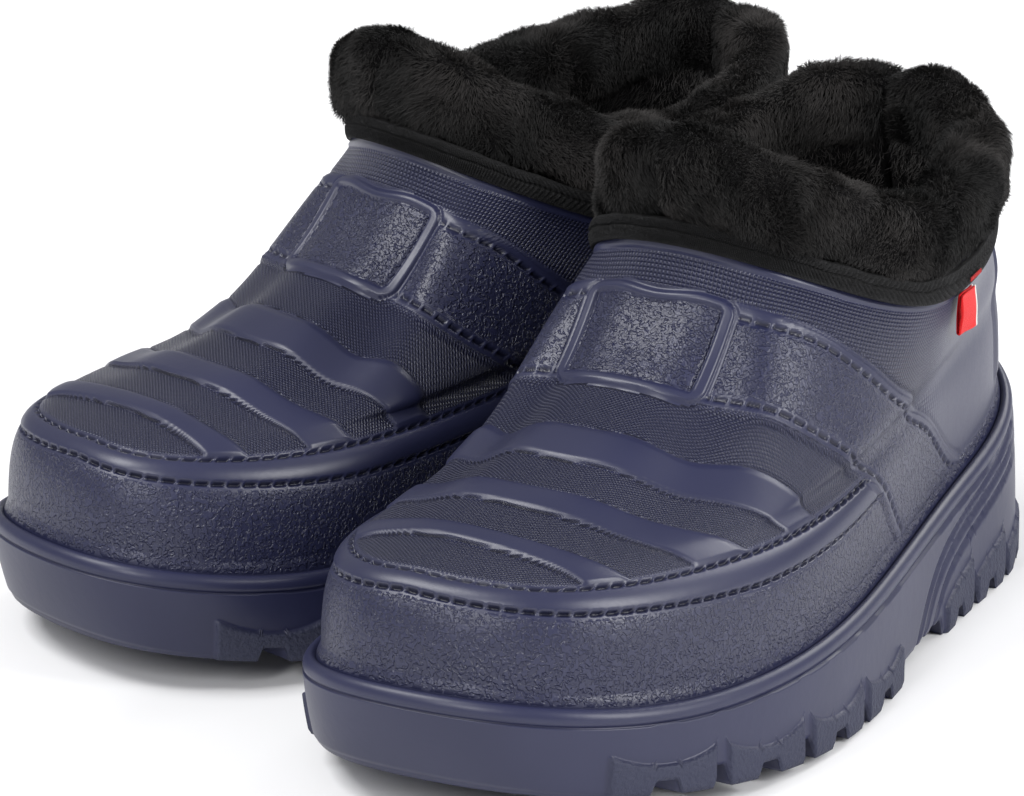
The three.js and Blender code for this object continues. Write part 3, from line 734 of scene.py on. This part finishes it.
# ---- Plush ----
SEAM = 0.004
FUR_PER_CUFF = 64000
FUR_PER_LINER = 26000
CUFF_SETTLES = -1.6


def half_round(outer, count):
    u = np.linspace(SEAM, 0.5 - SEAM, count)
    return u if outer else 0.5 + u


def cuff_surface(outer, columns, sides):
    """The rolled cuff's skin, with soft lumps and a dip at each seam."""
    u = half_round(outer, columns)
    inward = np.sqrt(np.maximum(0, -np.sin(2 * np.pi * u)))
    outside = CUFF_OUTSIDE * (1 - inward) + CUFF_INNER_SIDE_OUTSIDE * inward
    bottom = BINDING_HEIGHT + CLEARANCE
    sharp = lambda value: np.sign(value) * np.abs(value) ** 0.66
    points = []
    for angle in np.pi / 2 + 2 * np.pi * np.arange(sides) / sides:
        way = (1 + sharp(math.cos(angle))) / 2
        out = -CUFF_INSIDE + 1 + (outside + CUFF_INSIDE - 2) * way
        rise = CUFF_SETTLES + (CUFF_HEIGHT - 1 - CUFF_SETTLES) * (1 + sharp(math.sin(angle))) / 2
        points.append(beside_collar(u, out, bottom + rise))
    points = np.stack(points, 1)
    middle = points.mean(1, keepdims=True)
    to_seam = np.minimum(np.abs(u % 0.5), np.abs(0.5 - u % 0.5))
    pinch = 1 - 0.07 * np.exp(-((to_seam / 0.012) ** 2))
    points = middle + (points - middle) * pinch[:, None, None]
    away = points - middle
    away /= np.linalg.norm(away, axis=-1, keepdims=True)
    lumps = 1.1 * noise(points, 22, 5) + 0.5 * noise(points, 9, 6, 2)
    return points + away * (lumps[..., None] - 0.6)


def strip_faces(columns, sides):
    """Quads round a thin closed section, joined along an open run, and across it at each end."""
    quads = run_quads(columns, sides)
    j = np.arange(sides // 2 - 1)
    across = np.stack([j, sides - 1 - j, sides - 2 - j, j + 1], -1)
    return [quads, across, across[:, ::-1] + (columns - 1) * sides]


def run_quads(columns, sides):
    i, j = np.meshgrid(np.arange(columns - 1), np.arange(sides), indexing="ij")
    after = (j + 1) % sides
    quads = np.stack([i * sides + j, i * sides + after, (i + 1) * sides + after, (i + 1) * sides + j], -1)
    return quads.reshape(-1, 4)


def tube_faces(columns, sides):
    """Quads round a closed section, joined along an open run, with a fan at each end."""
    first, last = columns * sides, columns * sides + 1
    j = np.arange(sides)
    after = (j + 1) % sides
    start = np.stack([np.full(sides, first), after, j], -1)
    end = np.stack([np.full(sides, last), (columns - 1) * sides + j, (columns - 1) * sides + after], -1)
    return [run_quads(columns, sides), np.concatenate([start, end])]


def closed_run(points):
    """Points of a run of sections, with the middle of each end section added."""
    ends = np.stack([points[0].mean(0), points[-1].mean(0)])
    return np.concatenate([points.reshape(-1, 3), ends])


def run_normals(points, outwards):
    """Unit normals of an open run of sections, turned to the side of outwards."""
    along = np.gradient(points, axis=0)
    around = (np.roll(points, -1, 1) - np.roll(points, 1, 1)) if outwards is None else np.gradient(points, axis=1)
    out = np.cross(around, along)
    out /= np.maximum(np.linalg.norm(out, axis=-1, keepdims=True), 1e-9)
    hint = points - points.mean(1, keepdims=True) if outwards is None else outwards
    return out * np.sign((out * hint).sum(-1, keepdims=True).mean())


def fur_piece(name, side, surface, normals, count, length, seed, material, allowed=None):
    """Blades of pile over a surface, combed down and in loose tufts, as one mesh."""
    rng = np.random.default_rng(seed)
    corner = surface[:-1, :-1]
    area = np.linalg.norm(np.cross(surface[1:, :-1] - corner, surface[:-1, 1:] - corner), axis=-1)
    if allowed is not None:
        area = area * allowed[:-1, :-1]
    cell = rng.choice(area.size, count, p=(area / area.sum()).ravel())
    i, j = np.unravel_index(cell, area.shape)
    a, b = rng.random((2, count, 1))
    blend = lambda grid: ((grid[i, j] * (1 - a) + grid[i + 1, j] * a) * (1 - b)
                          + (grid[i, j + 1] * (1 - a) + grid[i + 1, j + 1] * a) * b)
    root = blend(surface)
    out = blend(normals)
    out /= np.linalg.norm(out, axis=1, keepdims=True)
    tuft = np.stack([noise(root, 17, seed + k, 3) for k in range(3)], -1)
    stray = rng.normal(size=(count, 3))
    lie = np.array([0, 0, -0.8]) + 0.7 * tuft + 0.4 * stray
    lie -= out * (lie * out).sum(1, keepdims=True)
    size = length * rng.uniform(0.7, 1.15, (count, 1)) * (1 + 0.3 * tuft[:, :1])
    heading = 0.5 * out + 0.8 * lie
    heading /= np.linalg.norm(heading, axis=1, keepdims=True)
    middle = root + heading * size * 0.5
    tip = middle + (heading * 0.8 + lie * 0.35 - out * 0.12) * size * 0.5
    wide = np.cross(heading, out + 0.6 * stray)
    wide *= 0.12 / np.linalg.norm(wide, axis=1, keepdims=True)
    base = root - out * 0.8
    points = np.stack([base - wide, base + wide, middle - wide * 0.8, middle + wide * 0.8, tip], 1)
    first = 5 * np.arange(count)[:, None]
    faces = [first + np.array([0, 1, 3, 2]), first + np.array([2, 3, 4])]
    # Per-blade tone, varying at random and in mottled patches; the lighter grey of the patches is painted sheen.
    mottle = noise(root, 26, seed + 9, 2)
    tone_and_sheen = np.repeat(np.clip(0.35 + 0.45 * mottle + 0.12 * rng.normal(size=count), 0, 1), 5)
    along = np.tile([0, 0, 0.5, 0.5, 1], count)
    return make_mesh(name, points.reshape(-1, 3), faces, side, material, {"tone_and_sheen": tone_and_sheen, "along": along})


def cuff_pieces(side, part, skin, pile):
    outer = part == "lateral"
    points = cuff_surface(outer, 170, 56)
    node = f"{side}_cuff_{part}"
    roll = make_mesh(node + "_roll", closed_run(points), tube_faces(len(points), points.shape[1]), side, skin)
    around = np.concatenate([points, points[:, :1]], 1)
    normals = run_normals(points, None)
    normals = np.concatenate([normals, normals[:, :1]], 1)
    hidden = np.clip((around[..., 2] - around[..., 2].min(1, keepdims=True)) / 4, 0.15, 1)
    fur = fur_piece(node + "_pile", side, around, normals, FUR_PER_CUFF, 2.9, 11 if outer else 12, pile, hidden)
    return roll, fur


LINED_LEVELS = np.array([0.06, 0.29, 0.45, 0.6, 0.72, 0.86, 1])


def liner_pieces(side, part, skin, pile):
    """One side of the plush bootie, lining the wall from the insole to the cuff."""
    outer = part == "lateral"
    u = half_round(outer, 120)
    lift = LINER_SOLE + INSOLE + 3 * CLEARANCE
    y = outline(u)[:, 1]
    rows = np.tile(np.linspace(LINED_LEVELS[0], 0.985, 34), (len(u), 1))
    whole = np.concatenate([[u[0] - 0.004], u, [u[-1] + 0.004]])
    wall = upper(whole, np.tile(rows[:1], (len(whole), 1)))
    out = grid_normals(wall)[1:-1]
    wall = wall[1:-1]
    middle = np.array([0, LENGTH / 2, 60])
    out *= np.sign((out * (wall - middle)).sum())
    columns = []
    for depth in (WALL + LINER_GAP, WALL + LINER_GAP + LINER):
        foot = ring(u, FOOTBED_INSET + depth, footbed_height(y) + lift)[:, None]
        side_wall = wall - out * depth
        top = [beside_collar(u, -depth, BINDING_HEIGHT - 0.5), beside_collar(u, -depth, BINDING_HEIGHT + 4)]
        columns.append(np.concatenate([foot, side_wall, np.stack(top, 1)], 1))
    back, face = columns
    face = face + noise(face, 14, 21)[..., None] * -0.5 * np.concatenate([out[:, :1], out, out[:, -1:], out[:, -1:]], 1)
    points = np.concatenate([back, face[:, ::-1]], 1)
    node = f"{side}_liner_{part}"
    lining = make_mesh(node + "_bootie", points.reshape(-1, 3), strip_faces(len(u), points.shape[1]), side, skin)
    normals = run_normals(face, np.array([0.0, 200.0, 70.0]) - face)
    shown = np.clip((face[..., 1] - 60) / 60, 0.05, 1)
    fur = fur_piece(node + "_pile", side, face, normals, FUR_PER_LINER, 3.4, 31 if outer else 32, pile, shown)
    return lining, fur


def footbed_piece(name, side, base, thickness, material, cushion):
    """A layer on the footbed with rounded edges and, on an insole, a cupped top."""
    u = evenly(0, 1, 240)
    edge = outline(u)
    inset = FOOTBED_INSET + WALL + 2 * CLEARANCE
    spine_y = np.clip(edge[:, 1], 45, LENGTH - 45)
    spine = np.stack([np.zeros(len(u)), spine_y], -1)
    columns = []
    profile = [(1, 0), (0.5, 0), (0.04, 0), (0, 0.15), (0, 0.7), (0.012, 0.93), (0.04, 1)]
    profile += [(step, 1) for step in np.linspace(0.1, 1, 16)]
    for way, rise in profile:
        border = ring(u, inset, 0)[:, :2]
        plan = border * (1 - way) + spine * way
        dish = cushion * smooth(0.04, 0.6, way) * (rise == 1)
        level = footbed_height(plan[:, 1]) + base + thickness * rise - dish
        columns.append(np.concatenate([plan, level[:, None]], -1))
    points = np.stack(columns, 1)
    points[..., 2] += 0.15 * noise(points, 12, 41) * (np.array([rise for _, rise in profile]) == 1)
    return make_mesh(name, points.reshape(-1, 3), grid_faces(len(u), len(profile)), side, material)


# ---- Binding, tag and its stitches ----
BRAID_RIBS = 330
TAG_THICKNESS = 0.55
THREAD_RADIUS = 0.22


def binding_piece(side, material):
    """A woven tape round the collar, with slanting ribs in two rows and a cord along its top."""
    u = np.arange(6 * BRAID_RIBS) / (6 * BRAID_RIBS)
    points = []
    inside = 2 * CLEARANCE
    profile = [(inside, 0.4), (inside + 0.5, 0)]
    profile += [(inside + BINDING_THICKNESS * math.sin(math.pi * (0.18 + 0.64 * t)) ** 0.5, BINDING_HEIGHT * t)
                for t in np.linspace(0.03, 0.97, 26)]
    profile += [(inside + 0.5, BINDING_HEIGHT), (inside, BINDING_HEIGHT - 0.4)]
    for out, rise in profile:
        share = rise / BINDING_HEIGHT
        slant = share * 3.4 if share < 0.6 else 2 - (share - 0.6) * 4
        rib = np.abs(np.sin(np.pi * (BRAID_RIBS * u + slant)))
        valley = hump(share - 0.6, 0.06)
        relief = (0.65 * rib - 0.7 * valley - 0.4) * min(1, 4 * share, 4 * (1 - share))
        points.append(beside_collar(u, out + relief, rise))
    points = np.stack(points, 1)
    wobble = 0.25 * noise(points, 10, 51)
    points[..., 2] += wobble * (np.arange(len(profile)) > 2)
    size = len(profile)
    i, j = np.meshgrid(np.arange(len(u)), np.arange(size), indexing="ij")
    after, ahead = (j + 1) % size, (i + 1) % len(u)
    faces = np.stack([i * size + j, ahead * size + j, ahead * size + after, i * size + after], -1).reshape(-1, 4)
    return make_mesh(side + "_binding", points.reshape(-1, 3), faces, side, material)


def tag_frame():
    """Top middle of the tag, and its directions along the collar, down the wall and outwards."""
    place = np.array([TAG_PLACE - 0.01, TAG_PLACE + 0.01])
    along = np.diff(collar(place), axis=0)[0]
    along /= np.linalg.norm(along)
    wall = upper(np.array([TAG_PLACE]), np.array([[0.88, 1]]))[0]
    down = wall[0] - wall[1]
    down /= np.linalg.norm(down)
    outward = np.cross(down, along)
    outward /= np.linalg.norm(outward)
    hang = np.cross(along, outward)
    top = wall[1] + outward * 2.3
    top[2] -= 1
    return top, along, hang, outward


def tag_piece(side, material):
    """A ribbon folded at its lower end into a flat loop, its two ends under the bar tack."""
    top, along, hang, outward = tag_frame()
    path = []
    length = TAG_LENGTH - 0.7
    top = top - hang * 0.9
    for t in np.linspace(0, 1, 16):
        path.append((t * length, -0.42 - 0.2 * math.sin(math.pi * t)))
    for turn in np.linspace(-75, 75, 9):
        a = math.radians(turn)
        path.append((length + 0.62 * math.cos(a), 0.42 * math.sin(a)))
    for t in np.linspace(1, 0, 16):
        path.append((t * length, 0.42 + 0.55 * math.sin(math.pi * t) ** 1.4))
    path = np.array(path)
    direction = np.gradient(path, axis=0)
    direction /= np.linalg.norm(direction, axis=1, keepdims=True)
    across = np.stack([direction[:, 1], -direction[:, 0]], -1) * TAG_THICKNESS / 2
    loop = np.concatenate([path + across, (path - across)[::-1]])
    loop[:, 0] = np.clip(loop[:, 0], 0, TAG_LENGTH)
    columns = []
    edge = []
    widths = np.concatenate([[-0.5, -0.485], np.linspace(-0.45, 0.45, 18), [0.485, 0.5]])
    for width in widths:
        slim = 0.6 if abs(width) == 0.5 else 1
        middle = np.concatenate([path, path[::-1]])
        section = middle + (loop - middle) * slim
        section[:, 0] += 0.25 * math.sin(width * 5)
        section[:, 1] += (0.8 + 1.2 * width) * (section[:, 0] / TAG_LENGTH) ** 2
        columns.append(top + along * width * TAG_WIDTH + section[:, :1] * hang + section[:, 1:] * outward)
        edge.append(np.full(len(section), 1.0 if width > 0.44 else 0.0))
    points = np.stack(columns)
    selvedge = np.concatenate([np.stack(edge).ravel(), [0, 1]])
    return make_mesh(side + "_tag_loop", closed_run(points), tube_faces(len(widths), points.shape[1]), side,
                     material, {"selvedge": selvedge})


def bartack_piece(side, material):
    """A tight zigzag of thread across the tape, over the tag's ends."""
    face = 2 * CLEARANCE + BINDING_THICKNESS + CLEARANCE + 0.25
    middle = beside_collar(np.array([TAG_PLACE]), face, BINDING_HEIGHT / 3)[0]
    _, along, _, _ = tag_frame()
    up = np.array([0.0, 0.0, 1.0])
    out = np.cross(along, up)
    count = 27
    path = []
    for i in range(count):
        path.append(middle + along * (i / (count - 1) - 0.5) * 7.6 + up * (0.5 if i % 2 else -0.5))
    path = np.array(path)
    smooth_path = spline(np.linspace(0, 1, count), path)(np.linspace(0, 1, 8 * count))
    tangent = np.gradient(smooth_path, axis=0)
    tangent /= np.linalg.norm(tangent, axis=1, keepdims=True)
    aside = np.cross(tangent, out)
    aside /= np.linalg.norm(aside, axis=1, keepdims=True)
    turns = 2 * np.pi * np.arange(8) / 8
    points = np.stack([smooth_path + THREAD_RADIUS * (aside * math.cos(a) + out * math.sin(a)) for a in turns], 1)
    return make_mesh(side + "_tag_stitches", closed_run(points), tube_faces(len(points), 8), side, material)


# ---- Materials ----
def linear(red, green, blue):
    """A linear colour from 8-bit display values."""
    channel = lambda c: ((c / 255 + 0.055) / 1.055) ** 2.4 if c > 10 else c / 255 / 12.92
    return (channel(red), channel(green), channel(blue), 1)


class Nodes:
    """A small builder of shader node trees."""

    def __init__(self, name):
        self.material = bpy.data.materials.new(name)
        self.material.use_nodes = True
        self.tree = self.material.node_tree
        self.shader = next(node for node in self.tree.nodes if node.type == "BSDF_PRINCIPLED")
        self.where = self.add("ShaderNodeTexCoord").outputs["Object"]

    def add(self, kind, inputs=None, **settings):
        node = self.tree.nodes.new(kind)
        for key, value in settings.items():
            setattr(node, key, value)
        for key, value in (inputs or {}).items():
            self.set(node.inputs[key], value)
        return node

    def set(self, socket, value):
        if isinstance(value, bpy.types.NodeSocket):
            self.tree.links.new(value, socket)
        else:
            socket.default_value = value

    def math(self, operation, first, second=0.0, third=0.0):
        inputs = {0: first, 1: second}
        if operation in ("MULTIPLY_ADD",):
            inputs[2] = third
        return self.add("ShaderNodeMath", inputs, operation=operation).outputs[0]

    def noise(self, scale, detail=2.0, distortion=0.0, roughness=0.5):
        inputs = {"Vector": self.where, "Scale": scale, "Detail": detail, "Distortion": distortion,
                  "Roughness": roughness}
        return self.add("ShaderNodeTexNoise", inputs).outputs["Fac"]

    def value(self, attribute):
        return self.add("ShaderNodeAttribute", attribute_name=attribute).outputs["Fac"]

    def mix(self, share, first, second):
        node = self.add("ShaderNodeMix", data_type="RGBA")
        self.set(node.inputs[0], share)
        self.set(node.inputs[6], first)
        self.set(node.inputs[7], second)
        return node.outputs[2]

    def step(self, value, low, high, to_low=0.0, to_high=1.0):
        inputs = {"Value": value, "From Min": low, "From Max": high, "To Min": to_low, "To Max": to_high}
        return self.add("ShaderNodeMapRange", inputs).outputs["Result"]

    def bump(self, height, distance, strength=1.0, under=None):
        inputs = {"Height": height, "Distance": distance, "Strength": strength}
        node = self.add("ShaderNodeBump", inputs)
        if under is not None:
            self.set(node.inputs["Normal"], under)
        return node.outputs["Normal"]

    def finish(self, **inputs):
        for key, value in inputs.items():
            self.set(self.shader.inputs[key.replace("_", " ")], value)
        return self.material


NAVY = (0.019, 0.021, 0.055, 1)
NAVY_DEEP = (0.014, 0.016, 0.046, 1)


def foam_material():
    """Semi-matt moulded foam: smooth, leather-grained or woven by place, with painted shade in the weave valleys, grain
    pits and stitch grooves.
    """
    n = Nodes("navy_foam")
    worms = n.step(n.noise(760, 0.0, 0.9), 0.43, 0.57)
    fine = n.noise(1500, 2.0)
    grain_height = n.math("MULTIPLY", n.math("MULTIPLY_ADD", fine, 0.4, worms), n.value("grain"))
    at = n.add("ShaderNodeAttribute", attribute_name="weave_at").outputs["Vector"]
    split = n.add("ShaderNodeSeparateXYZ", {"Vector": at})
    lobes = [n.math("ABSOLUTE", n.math("SINE", n.math("MULTIPLY", split.outputs[k], math.pi))) for k in (0, 1)]
    dots = n.math("POWER", n.math("MULTIPLY", *lobes), 0.6)
    weave = n.value("weave")
    weave_height = n.math("MULTIPLY", dots, weave)
    skin = n.noise(240, 4.0)
    normal = n.bump(skin, 0.00012, 0.5)
    normal = n.bump(grain_height, 0.00042, 1.0, normal)
    normal = n.bump(weave_height, 0.0005, 1.0, normal)
    cloud = n.noise(22, 3.0)
    color = n.mix(n.step(cloud, 0.3, 0.7), NAVY_DEEP, NAVY)
    # Painted shade: the valleys between the woven dots are darkened towards near-black navy.
    low = n.math("MULTIPLY", n.math("SUBTRACT", 1.0, dots), weave)
    color = n.mix(n.math("MULTIPLY", low, 0.5), color, (0.006, 0.007, 0.022, 1))
    # Painted shade: the pits of the leather grain are darkened.
    pits = n.math("MULTIPLY", n.math("SUBTRACT", 1.0, worms), n.value("grain"))
    color = n.mix(n.math("MULTIPLY", pits, 0.35), color, (0.008, 0.009, 0.028, 1))
    # Painted shade: the sunken stitch grooves are darkened almost to black.
    color = n.mix(n.math("MULTIPLY", n.value("sunk"), 0.8), color, (0.003, 0.0035, 0.012, 1))
    rough = n.math("MULTIPLY_ADD", fine, 0.1, 0.33)
    return n.finish(Base_Color=color, Roughness=rough, Normal=normal, IOR=1.45, Specular_IOR_Level=0.6)


def sole_material():
    """The same foam with stippled lug faces."""
    n = Nodes("navy_foam_sole")
    stipple = n.value("stipple")
    pits = n.noise(900, 2.0)
    height = n.math("MULTIPLY", pits, stipple)
    normal = n.bump(n.noise(260, 4.0), 0.00015, 0.5)
    normal = n.bump(height, 0.0006, 1.0, normal)
    color = n.mix(n.step(n.noise(22, 3.0), 0.3, 0.7), NAVY_DEEP, NAVY)
    color = n.mix(n.math("MULTIPLY", stipple, 0.5), color, (0.026, 0.03, 0.052, 1))
    rough = n.math("MULTIPLY_ADD", stipple, 0.25, 0.4)
    return n.finish(Base_Color=color, Roughness=rough, Normal=normal, IOR=1.45, Specular_IOR_Level=0.5)


def skin_material():
    """The dense ground of the plush."""
    n = Nodes("plush_ground")
    height = n.noise(600, 4.0)
    color = n.mix(n.noise(90, 3.0), linear(9, 9, 10), linear(24, 23, 24))
    return n.finish(Base_Color=color, Roughness=1.0, Normal=n.bump(height, 0.0015), Specular_IOR_Level=0.1)


def pile_material():
    """Single blades of pile, darker at the root, with lighter grey patches of painted sheen."""
    n = Nodes("plush_pile")
    # Painted sheen: the light grey tone stands for the pile's sheen, mixed with tone that varies at random.
    tone = n.mix(n.value("tone_and_sheen"), linear(13, 13, 13), linear(58, 55, 54))
    color = n.mix(n.value("along"), linear(9, 9, 10), tone)
    return n.finish(Base_Color=color, Roughness=0.7, Specular_IOR_Level=0.25)


def braid_material():
    n = Nodes("binding_braid")
    threads = n.math("SINE", n.math("MULTIPLY", n.noise(900, 1.0, 1.5), 30.0))
    color = n.mix(n.noise(300, 3.0), linear(8, 8, 9), linear(30, 30, 32))
    normal = n.bump(threads, 0.0002)
    return n.finish(Base_Color=color, Roughness=0.7, Normal=normal, Specular_IOR_Level=0.3)


def felt_material():
    n = Nodes("insole_felt")
    color = n.mix(n.noise(420, 5.0), linear(30, 30, 33), linear(62, 62, 66))
    return n.finish(Base_Color=color, Roughness=0.95, Normal=n.bump(n.noise(1400, 4.0), 0.0005))


def ribbon_material():
    """Red ribbon with a white selvedge."""
    n = Nodes("tag_ribbon")
    split = n.add("ShaderNodeSeparateXYZ", {"Vector": n.where})
    weft = n.math("SINE", n.math("MULTIPLY", split.outputs[2], 2 * math.pi / 0.00042))
    warp = n.math("SINE", n.math("MULTIPLY", split.outputs[1], 2 * math.pi / 0.0005))
    cloth = n.math("MULTIPLY", weft, warp)
    red = n.mix(n.step(cloth, -1, 1), (0.55, 0.002, 0.004, 1), (0.8, 0.004, 0.006, 1))
    color = n.mix(n.value("selvedge"), red, linear(240, 236, 232))
    return n.finish(Base_Color=color, Roughness=0.45, Normal=n.bump(cloth, 0.00008), Specular_IOR_Level=0.3)


def thread_material():
    n = Nodes("tag_thread")
    twist = n.math("SINE", n.math("MULTIPLY", n.noise(2500, 1.0), 12.0))
    color = n.mix(n.noise(1500, 2.0), linear(120, 8, 10), linear(200, 20, 24))
    return n.finish(Base_Color=color, Roughness=0.6, Normal=n.bump(twist, 0.0001))


# ---- The pair ----
def dress(piece, body, slot, *nodes):
    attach(piece, body)
    if nodes:
        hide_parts(*nodes)


foam, sole_foam, skin, pile = foam_material(), sole_material(), skin_material(), pile_material()
braid, felt, ribbon, thread = braid_material(), felt_material(), ribbon_material(), thread_material()
moulding = moulded_upper()
for side in ("left", "right"):
    body = side + "_boot"
    for piece in (bumper_piece(side, moulding, foam), *upper_pieces(side, moulding, foam),
                  sole_piece(side, sole_foam)):
        dress(piece, body, "foam", side + "_shell")
    for part in ("lateral", "medial"):
        roll, fur = cuff_pieces(side, part, skin, pile)
        for piece in (roll, fur):
            dress(piece, body, "plush", f"{side}_cuff_{part}")
        for piece in liner_pieces(side, part, skin, pile):
            dress(piece, body, "plush", f"{side}_liner_{part}")
    over_sole = LINER_SOLE + 2 * CLEARANCE
    dress(footbed_piece(side + "_liner_sole_plush", side, CLEARANCE, LINER_SOLE, skin, 0), body, "plush",
          side + "_liner_sole")
    dress(footbed_piece(side + "_insole_felt", side, over_sole, INSOLE, felt, 1.2), body, "felt", side + "_insole")
    dress(binding_piece(side, braid), body, "braid", side + "_collar_binding")
    dress(bartack_piece(side, thread), body, "thread", side + "_tag_bartack")
    dress(tag_piece(side, ribbon), side + "_tag_leaf", "ribbon", side + "_tag")


# ---- Stage, lights and camera ----
def area_light(name, place, target, size, power, color=(1, 1, 1)):
    light = bpy.data.lights.new(name, "AREA")
    light.shape = "RECTANGLE"
    light.size, light.size_y = size
    light.energy = power
    light.color = color
    lamp = bpy.data.objects.new(name, light)
    lamp.location = place
    aim = np.array(target) - np.array(place)
    lamp.rotation_euler = (math.atan2(math.hypot(aim[0], aim[1]), -aim[2]), 0, math.atan2(-aim[0], aim[1]))
    bpy.context.scene.collection.objects.link(lamp)


def stage():
    floor = bpy.data.meshes.new("floor")
    reach = 6.0
    floor.from_pydata([(-reach, -reach, 0), (reach, -reach, 0), (reach, reach, 0), (-reach, reach, 0)], [],
                      [(0, 1, 2, 3)])
    n = Nodes("pale_floor")
    floor.materials.append(n.finish(Base_Color=(0.86, 0.86, 0.87, 1), Roughness=0.9, Specular_IOR_Level=0.1))
    ground = bpy.data.objects.new("floor", floor)
    bpy.context.scene.collection.objects.link(ground)
    world = bpy.data.worlds.new("studio")
    world.use_nodes = True
    world.node_tree.nodes["Background"].inputs["Color"].default_value = (1, 1, 1, 1)
    world.node_tree.nodes["Background"].inputs["Strength"].default_value = 0.4
    bpy.context.scene.world = world
    area_light("key", (-0.7, -1.0, 1.9), (0, 0, 0.05), (0.9, 0.9), 36)
    area_light("strip", (0.45, -1.9, 1.3), (0.03, -0.1, 0.05), (0.35, 0.9), 20)
    area_light("side", (1.8, 0.4, 1.0), (0.05, 0.1, 0.06), (0.6, 1.2), 34)
    area_light("rim", (0.2, 1.9, 1.4), (0, 0, 0.1), (1.4, 0.8), 24)
    bpy.context.scene.view_settings.view_transform = "Standard"


CAMERA_PLACE = (817.8, -1335.4, 637.7)
CAMERA_TURN = 30.5
CAMERA_DIP = 18.3
FOCAL_LENGTH = 228.7


def camera():
    """The camera, set from the left boot, which stands nearer."""
    lens = bpy.data.cameras.new("camera")
    lens.lens = FOCAL_LENGTH
    lens.sensor_width = 36
    lens.clip_end = 20
    eye = bpy.data.objects.new("camera", lens)
    eye.location = to_world(np.array(CAMERA_PLACE), "left")
    eye.rotation_euler = (math.radians(90 - CAMERA_DIP), 0, math.radians(CAMERA_TURN + TOE_OUT))
    bpy.context.scene.collection.objects.link(eye)
    bpy.context.scene.camera = eye


stage()
camera()
